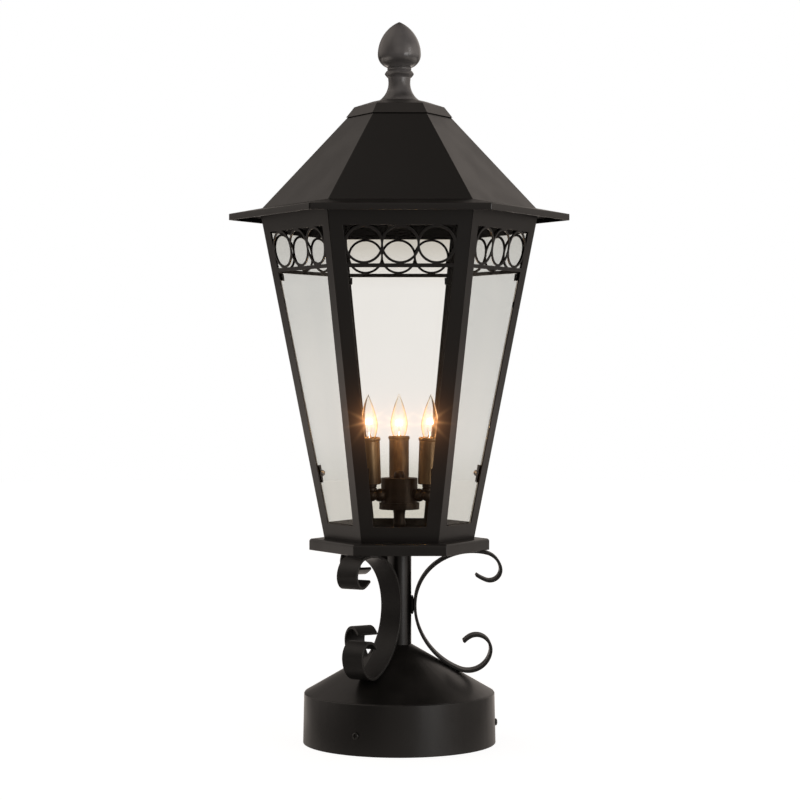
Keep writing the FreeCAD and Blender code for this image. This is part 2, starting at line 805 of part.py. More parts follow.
def roof_crossbar():
    """Flat bar from the front sheet to the back one, with its ends folded down against them."""
    half = panel_inner_y(bar_top_z) - bar_clearance
    low = bar_top_z - bar_leg
    low_half = panel_inner_y(low) - bar_clearance
    inner = bar_top_z - bar_thickness
    inner_half = half - bar_thickness
    points = [(-low_half, low), (-half, bar_top_z), (half, bar_top_z), (low_half, low),
              (low_half - bar_thickness, low), (inner_half, inner),
              (-inner_half, inner), (-low_half + bar_thickness, low)]
    bar = Part.Face(Part.Wire(polygon(points))).extrude(Vector(0, bar_width, 0))
    bar.translate(Vector(0, -bar_width / 2, 0))
    bar = turned(bar, 90)
    return bar.cut(cylinder(rod_r + thread_clearance, low, bar_top_z + bar_thickness))


def panel_inner_y(z):
    """Distance of a side sheet's inner face from the axis, at a height."""
    outer = (body_bottom_r + (body_top_r - body_bottom_r) * (z - pan_top_z) / body_height) * flat_share
    return outer - panel_sheet * stretch


def rod_nut():
    """Hexagon lock nut on top of the crossbar."""
    corner_r = nut_flats / 2 / flat_share
    nut = hex_solid([(corner_r, bar_top_z), (corner_r, bar_top_z + nut_height)])
    return nut.cut(cylinder(rod_r + thread_clearance, bar_top_z, bar_top_z + nut_height))


def cluster_nipple():
    """Hollow threaded nipple from the bush, through the pan and the whole cluster, into the knob."""
    return tube(nipple_r, nipple_r - nipple_bore_r, pan_top_z - nipple_below_pan, hub_top_z + nipple_in_knob)


def cluster_neck():
    """Turned spool between the pan and the cluster."""
    bore = nipple_r + thread_clearance
    top = cover_bottom_z
    foot = pan_top_z + neck_foot
    middle = (pan_top_z + top) / 2
    return revolved([line((bore, pan_top_z), (neck_r, pan_top_z)),
                     line((neck_r, pan_top_z), (neck_r, foot)),
                     arc((neck_r, foot), (neck_waist_r, (foot + middle) / 2), (neck_r, middle)),
                     arc((neck_r, middle), (neck_waist_r, (middle + top) / 2), (neck_r, top)),
                     line((neck_r, top), (bore, top)),
                     line((bore, top), (bore, pan_top_z))])


def cluster_cover():
    """Shallow turned lid that closes the hub from below."""
    lid = cylinder(cover_r, cover_bottom_z, hub_bottom_z)
    lid = lid.makeFillet(cover_wall / 2, edges_at(lid, cover_bottom_z))
    hollow = cylinder(cover_r - 2 * cover_wall, cover_bottom_z + cover_wall, hub_bottom_z)
    return lid.cut([hollow, cylinder(nipple_r + thread_clearance, cover_bottom_z, hub_bottom_z)])


def cluster_hub():
    """Drawn cup, open below, with a hole for each arm and one on top for the nipple."""
    hub = cylinder(hub_r, hub_bottom_z, hub_top_z)
    hub = hub.makeFillet(hub_wall / 2, edges_at(hub, hub_top_z))
    hub = hub.cut([cylinder(hub_r - hub_wall, hub_bottom_z, hub_top_z - hub_wall),
                   cylinder(nipple_r + thread_clearance, hub_bottom_z, hub_top_z)])
    for i in range(candles):
        hole = Part.makeCylinder(arm_tube_r + thread_clearance, 2 * hub_r,
                                 Vector(0, 0, arm_z), Vector(1, 0, 0))
        hub = hub.cut(turned(hole, first_candle + 360 / candles * i))
    return hub


def cluster_knob():
    """Turned cap nut on top of the hub."""
    bore = nipple_r + thread_clearance
    depth = hub_top_z + nipple_in_knob + thread_clearance
    top = hub_top_z + knob_height
    skirt = hub_top_z + knob_skirt
    outline = [line((bore, hub_top_z), (knob_r, hub_top_z)), line((knob_r, hub_top_z), (knob_r, skirt))]
    outline += dome_edges(knob_r, skirt, knob_top_r, top)
    outline += [line((0, top), (0, depth)), line((0, depth), (bore, depth)),
                line((bore, depth), (bore, hub_top_z))]
    return revolved(outline)


def on_arm(shape, index):
    """Places a shape drawn upright, from the middle of the candle's ball, on its leaning arm."""
    placed = shape.copy()
    placed.rotate(Vector(0, 0, 0), Vector(0, 1, 0), candle_lean)
    placed.translate(Vector(candle_circle_r, 0, arm_z))
    return turned(placed, first_candle + 360 / candles * index)


def candle_arm(index):
    """Short tube and two balls that carry a candle, with the inner ball seated against the hub."""
    tube_length = candle_circle_r - hub_r + 2 * hub_wall
    start = Vector(hub_r - 2 * hub_wall, 0, arm_z)
    arm_tube = Part.makeCylinder(arm_tube_r, tube_length, start, Vector(1, 0, 0))
    balls = Part.makeSphere(hub_ball_r, Vector(hub_ball_place_r, 0, arm_z))
    balls = balls.fuse(Part.makeSphere(candle_ball_r, Vector(candle_circle_r, 0, arm_z)))
    balls = balls.cut(cylinder(hub_r, hub_bottom_z - hub_ball_r, hub_top_z + hub_ball_r))
    return turned(balls.fuse(arm_tube), first_candle + 360 / candles * index)


def candle_cup(index):
    """Turned and grooved cup on the ball, with the saucer that the sleeve stands on."""
    groove_z = (cup_bottom + cup_top) / 2
    seat = math.sqrt(candle_ball_r ** 2 - cup_bottom ** 2)
    half_turn = math.asin(seat / candle_ball_r) / 2
    saucer_z = cup_top + saucer_thickness
    return on_arm(revolved([line((0, candle_ball_r), (0, saucer_z)),
                            line((0, saucer_z), (saucer_r, saucer_z)),
                            line((saucer_r, saucer_z), (saucer_r, cup_top)),
                            line((saucer_r, cup_top), (cup_r, cup_top)),
                            line((cup_r, cup_top), (cup_r, groove_z + cup_groove)),
                            arc((cup_r, groove_z + cup_groove), (cup_r - cup_groove, groove_z),
                                (cup_r, groove_z - cup_groove)),
                            line((cup_r, groove_z - cup_groove), (cup_r, cup_bottom)),
                            line((cup_r, cup_bottom), (seat, cup_bottom)),
                            arc((seat, cup_bottom), (candle_ball_r * math.sin(half_turn),
                                candle_ball_r * math.cos(half_turn)), (0, candle_ball_r))]), index)


sleeve_bottom = cup_top + saucer_thickness
sleeve_top = sleeve_bottom + sleeve_length
socket_top = sleeve_top - socket_below_rim
bulb_base_top = sleeve_bottom + socket_base + bulb_base_length


def candle_sleeve(index):
    """Tube over the socket, with a rolled rim."""
    inner_r = sleeve_r - sleeve_wall
    rim_low = sleeve_top - sleeve_rim_height
    rim_middle = (rim_low + sleeve_top) / 2
    return on_arm(revolved([line((inner_r, sleeve_bottom), (sleeve_r, sleeve_bottom)),
                            line((sleeve_r, sleeve_bottom), (sleeve_r, rim_low)),
                            arc((sleeve_r, rim_low), (sleeve_rim_r, rim_middle), (sleeve_r, sleeve_top)),
                            line((sleeve_r, sleeve_top), (inner_r, sleeve_top)),
                            line((inner_r, sleeve_top), (inner_r, sleeve_bottom))]), index)


def lamp_socket(index):
    """Moulded socket, standing on the saucer inside the sleeve."""
    bore = bulb_base_r + bulb_clearance
    floor = sleeve_bottom + socket_base
    return on_arm(revolved(polygon([(0, sleeve_bottom), (socket_r, sleeve_bottom), (socket_r, socket_top),
                                    (bore, socket_top), (bore, floor), (0, floor)])), index)


def bulb_base(index):
    """Metal screw base of a bulb, with its contact on the socket's floor."""
    floor = sleeve_bottom + socket_base
    contact_r = bulb_base_r / 2
    shoulder = floor + contact_r / 2
    return on_arm(revolved(polygon([(0, floor), (contact_r, floor), (bulb_base_r, shoulder),
                                    (bulb_base_r, bulb_base_top), (0, bulb_base_top)])), index)


def bulb_outline(offset):
    """Radius and height points of a flame-shaped bulb, less a wall's thickness."""
    widest = bulb_base_top + bulb_shoulder
    tip = bulb_base_top + bulb_length
    neck = (bulb_neck_r - offset, bulb_base_top)
    belly = (bulb_r - offset, widest)
    shoulder_mid = (bulb_shoulder_r - offset, bulb_base_top + bulb_shoulder / 2)
    taper_mid = (bulb_taper_r - offset, (widest + tip) / 2)
    end = (bulb_tip_r * (1 - offset / bulb_r), tip - 2 * offset)
    return neck, shoulder_mid, belly, taper_mid, end


def bulb_body(offset):
    """Closed solid inside the bulb's outline."""
    neck, shoulder_mid, belly, taper_mid, end = bulb_outline(offset)
    return revolved([line((0, neck[1]), neck), arc(neck, shoulder_mid, belly), arc(belly, taper_mid, end),
                     line(end, (0, end[1])), line((0, end[1]), (0, neck[1]))])


def bulb_glass(index):
    """Blown glass envelope, open at its neck."""
    return on_arm(bulb_body(0).cut(bulb_body(bulb_wall)), index)


def bulb_mount(index):
    """Glass stem on the base, with two lead wires and the filament between them."""
    stem_top = bulb_base_top + mount_stem_length
    stem = Part.makeCone(mount_stem_r, mount_stem_top_r, mount_stem_length, Vector(0, 0, bulb_base_top))
    half = filament_span / 2
    top = bulb_base_top + filament_height
    low = stem_top - mount_press
    wires = [Part.makeCylinder(filament_wire_r, top - low, Vector(side * half, 0, low)) for side in (-1, 1)]
    spread = Part.makeBox(filament_span + 2 * filament_wire_r, 2 * filament_wire_r, 2 * filament_wire_r)
    spread.translate(Vector(-half - filament_wire_r, -filament_wire_r, low))
    filament = Part.makeCylinder(filament_r, filament_span, Vector(-half, 0, top), Vector(1, 0, 0))
    return on_arm(stem.fuse(wires + [spread, filament]), index)


def write(name, shape):
    """Writes one node's solids to its own file."""
    solids = shape if isinstance(shape, list) else [shape]
    solids = [solid for part in solids for solid in part.Solids]
    result = solids[0] if len(solids) == 1 else Part.makeCompound(solids)
    result.exportStep("parts/" + name + ".step")
    print(name, len(solids), "solids, valid:", result.isValid(), "volume", round(result.Volume, 1))


os.makedirs("parts", exist_ok=True)
roof = roof_shell()
write("pier_plate", pier_plate())
write("base_collar", base_collar())
write("base_cone", base_cone())
write("collar_screws", collar_screws())
write("stem_pipe", stem_pipe())
write("pipe_bush", pipe_bush())
for i in range(scrolls):
    write("scroll_bar_%d" % (i + 1), turned(scroll_bar(), 360 / scrolls * i))
write("scroll_welds", scroll_welds())
write("floor_pan", floor_pan())
for i in range(sides):
    write("side_panel_%d" % (i + 1), side_panel(i, roof))
    write("glass_pane_%d" % (i + 1), glass_pane(i))
write("glass_clips", glass_clips())
write("clip_nuts", clip_nuts())
write("roof_shell", roof)
write("crown_cap", crown_cap())
write("finial", finial())
write("roof_rod", roof_rod())
write("roof_crossbar", roof_crossbar())
write("rod_nut", rod_nut())
write("cluster_nipple", cluster_nipple())
write("cluster_neck", cluster_neck())
write("cluster_cover", cluster_cover())
write("cluster_hub", cluster_hub())
write("cluster_knob", cluster_knob())
for i in range(candles):
    for make in (candle_arm, candle_cup, candle_sleeve, lamp_socket, bulb_base, bulb_glass, bulb_mount):
        write("%s_%d" % (make.__name__, i + 1), make(i))
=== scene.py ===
import math

import bmesh
import bpy
from mathutils import Matrix, Vector, noise


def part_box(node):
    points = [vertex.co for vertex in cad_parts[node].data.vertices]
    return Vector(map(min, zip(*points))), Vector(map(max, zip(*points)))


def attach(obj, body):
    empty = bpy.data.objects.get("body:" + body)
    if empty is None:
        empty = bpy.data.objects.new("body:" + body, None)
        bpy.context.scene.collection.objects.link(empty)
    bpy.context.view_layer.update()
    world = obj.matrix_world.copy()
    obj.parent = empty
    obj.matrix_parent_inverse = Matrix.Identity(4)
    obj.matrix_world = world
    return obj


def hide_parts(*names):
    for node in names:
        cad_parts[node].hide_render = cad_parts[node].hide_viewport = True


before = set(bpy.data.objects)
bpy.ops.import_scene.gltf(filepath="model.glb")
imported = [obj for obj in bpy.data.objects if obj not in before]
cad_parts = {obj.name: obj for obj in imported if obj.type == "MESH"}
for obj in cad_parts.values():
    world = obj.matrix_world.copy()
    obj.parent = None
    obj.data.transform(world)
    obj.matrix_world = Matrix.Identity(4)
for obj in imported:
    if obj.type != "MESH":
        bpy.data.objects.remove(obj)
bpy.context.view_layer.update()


# Stand and light. The lantern stands on a pale seamless floor in a plain studio, which the
# camera sees as white. What the lantern mirrors is dimmer: soft panels behind it and at its
# right, pools of light on the floor, and two soft lamps in front at the right, one tall.
floor_radius = 6.0
floor_steps = 96
floor_paint = (0.30, 0.30, 0.30, 1)
floor_roughness = 0.7
floor_white = 0.90
floor_even = 0.06
warm_white = (1.11, 0.99, 0.90)
# Each panel's turn from the camera's side, its height and its spread in degrees, and its level
panels = ((-112, 32, 50, 0.60), (-60, 62, 40, 0.45), (0, 32, 40, 0.31), (0, 0, 35, 0.20),
          (52, 4, 35, 1.04), (88, 4, 35, 0.63), (125, 30, 45, 0.39), (165, 2, 45, 0.44))
# Each pool's place on the floor, its reach in metres, and its level
pools = ((0, 0, 0.32, 0.26), (0, -0.35, 0.45, 0.26), (0, 0.45, 0.6, 1.47), (0.45, 0, 0.5, 0.10),
         (0.9, -0.75, 0.9, 0.73), (-1.3, -0.2, 1.1, 1.77), (1.6, 0.2, 1.2, 1.01), (0, -1.8, 1.2, 0.38),
         (0, 1.6, 1.2, 2.6), (-2.0, 1.1, 1.4, 1.2), (2.0, 1.1, 1.4, 0.6))
# Each lamp's turn, height, width, length and power
lamps = ((58, 0.9, 0.3, 1.3, 3.3), (38, 0.45, 0.8, 0.8, 7.2))
lamp_distance = 2.2
lamp_aim = (0, 0, 0.45)
camera_place = (-0.0203, -2.4504, 0.4091)
camera_tilt = 90 - 0.691
camera_turn = -0.492
camera_lens = 99.356
sensor_width = 36.0


def add_node(tree, kind, inputs={}, **settings):
    """A shader node with its settings, and each input either linked or set."""
    made = tree.nodes.new(kind)
    for key, value in settings.items():
        setattr(made, key, value)
    for key, value in inputs.items():
        if isinstance(value, bpy.types.NodeSocket):
            tree.links.new(value, made.inputs[key])
        else:
            made.inputs[key].default_value = value
    return made


def worked(tree, operation, first, second):
    """Result of an operation on two values."""
    return add_node(tree, "ShaderNodeMath", {0: first, 1: second}, operation=operation).outputs[0]


def worked_vectors(tree, operation, result, *vectors):
    """Result of an operation on vectors, which is a Value or a Vector."""
    made = add_node(tree, "ShaderNodeVectorMath", dict(enumerate(vectors)), operation=operation)
    return made.outputs[result]


def ramp_between(tree, value, low, high, start=0.0, end=1.0):
    """Smooth step from start to end as a value goes from low to high."""
    step = add_node(tree, "ShaderNodeMapRange", {"Value": value, "From Min": low, "From Max": high,
                                                 "To Min": start, "To Max": end},
                    interpolation_type="SMOOTHSTEP")
    return step.outputs["Result"]


def seen_directly(tree):
    """1 for what the camera sees, also through glass, and 0 for what is mirrored or lit."""
    path = add_node(tree, "ShaderNodeLightPath").outputs
    return worked(tree, "MAXIMUM", path["Is Camera Ray"], path["Is Transmission Ray"])


studio = bpy.data.worlds.new("studio")
bpy.context.scene.world = studio
studio.use_nodes = True
tree = studio.node_tree
tree.nodes.clear()
towards = add_node(tree, "ShaderNodeTexCoord").outputs["Generated"]
level = 0.0
for turn, rise, spread, strength in panels:
    aim = Vector((0, -math.cos(math.radians(rise)), math.sin(math.radians(rise))))
    place = Matrix.Rotation(math.radians(turn), 3, "Z") @ aim
    near = worked_vectors(tree, "DOT_PRODUCT", "Value", towards, place)
    panel = ramp_between(tree, near, math.cos(math.radians(spread)), 1.0, 0.0, strength)
    level = worked(tree, "ADD", panel, level)
around = add_node(tree, "ShaderNodeBackground", {"Color": (*warm_white, 1), "Strength": level})
white = add_node(tree, "ShaderNodeBackground", {"Color": (1, 1, 1, 1), "Strength": 1.0})
mixed = add_node(tree, "ShaderNodeMixShader", {0: seen_directly(tree), 1: around.outputs[0],
                                               2: white.outputs[0]})
add_node(tree, "ShaderNodeOutputWorld", {"Surface": mixed.outputs[0]})

floor_mesh = bpy.data.meshes.new("floor")
shape = bmesh.new()
bmesh.ops.create_circle(shape, cap_ends=True, radius=floor_radius, segments=floor_steps)
shape.to_mesh(floor_mesh)
floor = bpy.data.objects.new("floor", floor_mesh)
bpy.context.collection.objects.link(floor)
floor_finish = bpy.data.materials.new("floor_finish")
floor_finish.use_nodes = True
tree = floor_finish.node_tree
coat = tree.nodes["Principled BSDF"]
coat.inputs["Base Color"].default_value = floor_paint
coat.inputs["Roughness"].default_value = floor_roughness
coat.inputs["Emission Color"].default_value = (1, 1, 1, 1)
coat.inputs["Emission Strength"].default_value = floor_white
place = add_node(tree, "ShaderNodeTexCoord").outputs["Object"]
level = floor_even
for across, along, reach, strength in pools:
    away = worked_vectors(tree, "DISTANCE", "Value", place, (across, along, 0))
    level = worked(tree, "ADD", ramp_between(tree, away, 0.0, reach, strength, 0.0), level)
dim = add_node(tree, "ShaderNodeEmission", {"Color": (*warm_white, 1), "Strength": level})
mixed = add_node(tree, "ShaderNodeMixShader", {0: seen_directly(tree), 1: dim.outputs[0],
                                               2: coat.outputs[0]})
tree.links.new(mixed.outputs[0], tree.nodes["Material Output"].inputs["Surface"])
floor_mesh.materials.append(floor_finish)

for turn, height, width, length, power in lamps:
    lamp_data = bpy.data.lights.new("soft_lamp", "AREA")
    lamp_data.shape = "RECTANGLE"
    lamp_data.size = width
    lamp_data.size_y = length
    lamp_data.energy = power
    lamp = bpy.data.objects.new("soft_lamp", lamp_data)
    lamp.location = Matrix.Rotation(math.radians(turn), 3, "Z") @ Vector((0, -lamp_distance, height))
    lamp.rotation_euler = (Vector(lamp_aim) - lamp.location).to_track_quat("-Z", "Y").to_euler()
    lamp.visible_camera = False
    lamp.visible_transmission = False
    bpy.context.collection.objects.link(lamp)

camera_data = bpy.data.cameras.new("camera")
camera_data.sensor_width = sensor_width
camera_data.lens = camera_lens
camera = bpy.data.objects.new("camera", camera_data)
camera.location = camera_place
camera.rotation_euler = (math.radians(camera_tilt), 0, math.radians(camera_turn))
bpy.context.collection.objects.link(camera)
bpy.context.scene.camera = camera
bpy.context.scene.view_settings.view_transform = "Standard"


# Pier plate. A flat steel disc with three folded ears, zinc plated, bolted to the pier and
# hidden inside the collar. Its cut edges are broken by hand with a file.
zinc_colour = (0.46, 0.46, 0.44)
zinc_bloom = (0.62, 0.62, 0.6)
zinc_roughness = (0.34, 0.5)
zinc_patches = 60.0
spangle_scale = 260.0
spangle_depth = 0.00001
filed_edge = 0.0004
edge_angle = 32
smooth_angle = 38
flat_angle = 0.3
merge_distance = 0.000002


def speckle(tree, scale, detail=2.0, roughness=0.5, stretch=None):
    """Noise over the object, its scale in cells a metre, from 0 to 1."""
    place = add_node(tree, "ShaderNodeTexCoord").outputs["Object"]
    if stretch:
        place = add_node(tree, "ShaderNodeMapping", {"Vector": place, "Scale": stretch}).outputs[0]
    return add_node(tree, "ShaderNodeTexNoise", {"Vector": place, "Scale": scale, "Detail": detail,
                                                 "Roughness": roughness}).outputs["Fac"]


def uneven(tree, levels, scale, detail=2.0):
    """A value that wanders between two levels over the object."""
    return ramp_between(tree, speckle(tree, scale, detail), 0.3, 0.7, *levels)


def blend_colour(tree, share, first, second):
    """Mix of two colours."""
    made = add_node(tree, "ShaderNodeMix", {"Factor": share}, data_type="RGBA")
    for socket, value in ((made.inputs[6], first), (made.inputs[7], second)):
        if isinstance(value, bpy.types.NodeSocket):
            tree.links.new(value, socket)
        else:
            socket.default_value = (*value, 1)
    return made.outputs[2]


def new_finish(name, metallic=0.0):
    """A material with its shader, and the tree to build its colours in."""
    finish = bpy.data.materials.new(name)
    finish.use_nodes = True
    shader = finish.node_tree.nodes["Principled BSDF"]
    shader.inputs["Metallic"].default_value = metallic
    return finish, finish.node_tree, shader


def feed(tree, shader, **sockets):
    """Links values into the shader's sockets, whose names are written with underscores."""
    for key, value in sockets.items():
        tree.links.new(value, shader.inputs[key.replace("_", " ")])


def bumped(tree, height, depth):
    """Normal of a surface with a fine relief, its depth in metres."""
    return add_node(tree, "ShaderNodeBump", {"Height": height, "Distance": depth, "Strength": 1.0}).outputs[0]


zinc_steel, tree, shader = new_finish("zinc_steel", 1.0)
spangle = ramp_between(tree, speckle(tree, spangle_scale, 4.0), 0.4, 0.62)
feed(tree, shader, Base_Color=blend_colour(tree, spangle, zinc_colour, zinc_bloom),
     Roughness=uneven(tree, zinc_roughness, zinc_patches), Normal=bumped(tree, spangle, spangle_depth))


def applied(piece):
    """The piece with its modifiers worked into its mesh."""
    graph = bpy.context.evaluated_depsgraph_get()
    made = bpy.data.meshes.new_from_object(piece.evaluated_get(graph))
    piece.modifiers.clear()
    piece.data = made
    return piece


def ease_edges(piece, width, steps):
    """Rounds a piece's sharp edges, marks the new strips as its rim, and smooths its shading."""
    finish = piece.data.materials[0]
    piece.data.materials.append(finish)
    rounding = piece.modifiers.new("rounding", "BEVEL")
    rounding.width = width
    rounding.segments = steps
    rounding.limit_method = "ANGLE"
    rounding.angle_limit = math.radians(edge_angle)
    rounding.material = 1
    applied(piece)
    mesh = piece.data
    rim = mesh.attributes.new("rim", "FLOAT", "FACE")
    rim.data.foreach_set("value", [float(face.material_index) for face in mesh.polygons])
    mesh.polygons.foreach_set("material_index", [0] * len(mesh.polygons))
    mesh.materials.pop(index=1)
    mesh.shade_smooth()
    mesh.set_sharp_from_angle(angle=math.radians(smooth_angle))
    piece.modifiers.new("flat_faces", "WEIGHTED_NORMAL").keep_sharp = True
    return applied(piece)


def new_piece(name, mesh, finish, slot, *nodes):
    """Puts a mesh in the scene as a piece that stands for the named solids."""
    mesh.materials.clear()
    mesh.materials.append(finish)
    piece = bpy.data.objects.new(name, mesh)
    bpy.context.collection.objects.link(piece)
    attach(piece, "root")
    if nodes:
        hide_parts(*nodes)
    return piece


def copy_solid(name, node):
    """Mesh of a solid, welded, with the flat faces cleared of triangles."""
    shape = bmesh.new()
    shape.from_mesh(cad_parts[node].data)
    bmesh.ops.remove_doubles(shape, verts=shape.verts, dist=merge_distance)
    bmesh.ops.dissolve_limit(shape, angle_limit=math.radians(flat_angle), verts=shape.verts,
                             edges=shape.edges)
    mesh = bpy.data.meshes.new(name)
    shape.to_mesh(mesh)
    return mesh


def made_piece(name, node, finish, slot, width, steps=2):
    """A solid's own form with its edges eased, as a piece in its place."""
    return ease_edges(new_piece(name, copy_solid(name, node), finish, slot, node), width, steps)


made_piece("mounting_plate", "pier_plate", zinc_steel, "zinc_steel", filed_edge)


# Base. The collar is a rolled steel band and the cone is spun from sheet. They are welded
# together at the seam, ground and powder coated satin black. Three pan-head screws hold them.
paint = (0.0042, 0.0038, 0.0034)
paint_rim_wear_and_highlight = (0.020, 0.0185, 0.017)
paint_facing_up = (0.10, 0.092, 0.085)
paint_roughness = (0.30, 0.37)
paint_patches = 22.0
paint_drift = {"Scale": 9.0, "Low": 0.88, "High": 1.14}
paint_rim_wear_and_highlight_amount = {"Amount": 0.7, "Scale": 140.0}
facing_up_amount = {"Amount": 0.12, "Scale": 36.0}
inside_shade_height = {"From Height": 0.55}
paint_grain = {"Scale": 1100.0}
grain_depth = 0.000012
collar_edge = 0.0010
cone_edge = 0.0008


def times(tree, first, second):
    """Product of two values."""
    return worked(tree, "MULTIPLY", first, second)


def new_group(name, inputs, output):
    """An empty shader node group with named inputs and one output: its tree and their sockets."""
    group = bpy.data.node_groups.new(name, "ShaderNodeTree")
    for label, value in inputs.items():
        socket = group.interface.new_socket(label, in_out="INPUT", socket_type="NodeSocketFloat")
        socket.default_value = value
    group.interface.new_socket(output, in_out="OUTPUT", socket_type="NodeSocketFloat")
    return group, group.nodes.new("NodeGroupInput").outputs, group.nodes.new("NodeGroupOutput").inputs[output]


def use_group(tree, group, values):
    """A group's output, with the group placed in a material with its own values."""
    made = add_node(tree, "ShaderNodeGroup", node_tree=group)
    for key, value in values.items():
        made.inputs[key].default_value = value
    return made.outputs[0]


# A slow drift of tone over a surface
drift_group, ins, result = new_group("tone_drift", {"Scale": 10.0, "Low": 0.9, "High": 1.1}, "Share")
cells = speckle(drift_group, ins["Scale"], 3.0)
drift = add_node(drift_group, "ShaderNodeMapRange", {"Value": cells, "From Min": 0.3, "From Max": 0.7,
                                                     "To Min": ins["Low"], "To Max": ins["High"]})
drift_group.links.new(drift.outputs["Result"], result)

# Rims paler in patches: partly rubbed thin, partly a painted highlight on the eased edges
rim_wear_and_highlight_group, ins, result = new_group("rim_wear_and_highlight", {"Amount": 0.5, "Scale": 120.0}, "Mask")
marked = add_node(rim_wear_and_highlight_group, "ShaderNodeAttribute", attribute_name="rim").outputs["Fac"]
patches = ramp_between(rim_wear_and_highlight_group, speckle(rim_wear_and_highlight_group, ins["Scale"]), 0.35, 0.65, 0.35, 1.0)
rim_wear_and_highlight_group.links.new(times(rim_wear_and_highlight_group, times(rim_wear_and_highlight_group, marked, patches), ins["Amount"]), result)

# Fine grain of a sprayed or baked coat
grain_group, ins, result = new_group("powder_grain", {"Scale": 1000.0}, "Height")
fine = speckle(grain_group, ins["Scale"], 1.0)
coarse = speckle(grain_group, times(grain_group, ins["Scale"], 0.3), 1.0)
grain_group.links.new(worked(grain_group, "ADD", fine, coarse), result)

# A paler, cloudy tone where a surface faces up
face_up_group, ins, result = new_group("paler_facing_up", {"Amount": 0.1, "Scale": 40.0}, "Mask")
facing = add_node(face_up_group, "ShaderNodeNewGeometry").outputs["Normal"]
upward = add_node(face_up_group, "ShaderNodeSeparateXYZ", {0: facing}).outputs["Z"]
lying = ramp_between(face_up_group, upward, 0.74, 0.92)
cloudy = ramp_between(face_up_group, speckle(face_up_group, ins["Scale"], 5.0), 0.35, 0.7, 0.3, 1.0)
face_up_group.links.new(times(face_up_group, times(face_up_group, lying, cloudy), ins["Amount"]), result)

# Inner faces, which look towards the lantern's axis, above a height: they are made to mirror little, a
# painted shade for the roof's shadow
inside_shade_group, ins, result = new_group("painted_inside_shade", {"From Height": 0.5}, "Mask")
place = add_node(inside_shade_group, "ShaderNodeTexCoord").outputs["Object"]
outward = worked_vectors(inside_shade_group, "MULTIPLY", "Vector", place, (1, 1, 0))
outward = worked_vectors(inside_shade_group, "NORMALIZE", "Vector", outward)
facing = add_node(inside_shade_group, "ShaderNodeNewGeometry").outputs["Normal"]
turned = worked_vectors(inside_shade_group, "DOT_PRODUCT", "Value", outward, facing)
height = add_node(inside_shade_group, "ShaderNodeSeparateXYZ", {0: place}).outputs["Z"]
above = worked(inside_shade_group, "GREATER_THAN", height, ins["From Height"])
inwards = ramp_between(inside_shade_group, turned, -0.6, -0.3, 1.0, 0.0)
inside_shade_group.links.new(times(inside_shade_group, inwards, above), result)


def toned(tree, colour, tone):
    """A colour made darker or lighter by a tone."""
    made = add_node(tree, "ShaderNodeMix", {"Factor": 1.0}, data_type="RGBA", blend_type="MULTIPLY")
    made.inputs[6].default_value = (*colour, 1)
    tree.links.new(tone, made.inputs[7])
    return made.outputs[2]


def satin_paint(name, colour, smoothness):
    """Powder coat with a slow drift of tone, paler rims that are partly rubbed and partly a painted
    highlight, a paler cloudy tone where it faces up, and a fine grain. Inner faces under the roof mirror
    little: a painted shade for the roof's shadow."""
    finish, tree, shader = new_finish(name)
    coat = toned(tree, colour, use_group(tree, drift_group, paint_drift))
    # Paler rims on the paint: partly rubbed thin, partly a painted highlight
    coat = blend_colour(tree, use_group(tree, rim_wear_and_highlight_group, paint_rim_wear_and_highlight_amount), coat, paint_rim_wear_and_highlight)
    # Paler, cloudy tone on faces that look up
    coat = blend_colour(tree, use_group(tree, face_up_group, facing_up_amount), coat, paint_facing_up)
    # Inner faces under the roof mirror little: a painted shade
    feed(tree, shader, Base_Color=coat, Metallic=use_group(tree, inside_shade_group, inside_shade_height),
         Roughness=uneven(tree, smoothness, paint_patches, 3.0),
         Normal=bumped(tree, use_group(tree, grain_group, paint_grain), grain_depth))
    return finish


black_paint = satin_paint("black_paint", paint, paint_roughness)
made_piece("collar_band", "base_collar", black_paint, "black_paint", collar_edge, steps=3)
made_piece("spun_cone", "base_cone", black_paint, "black_paint", cone_edge)

screw_head = 0.0039
screw_rise = 0.0026
screw_wall = 0.3
recess_arm = 0.0019
recess_half = 0.00042
recess_depth = 0.0012
shank_length = 0.008
shank_share = 0.6
ear_angles = (0.0, 116.5, 243.5)
screw_rings = 16
screw_steps = 72
screw_merge = 1e-7
crease_angle = 40


def skin(shape, rings, steps):
    """Faces between neighbouring rings of points, where a ring at a tip may be a single point."""
    for low, high in zip(rings, rings[1:]):
        for step in range(steps):
            after = (step + 1) % steps
            places = ((low, step), (low, after), (high, after), (high, step))
            corners = list(dict.fromkeys(ring[place % len(ring)] for ring, place in places))
            if len(corners) > 2:
                shape.faces.new(corners)


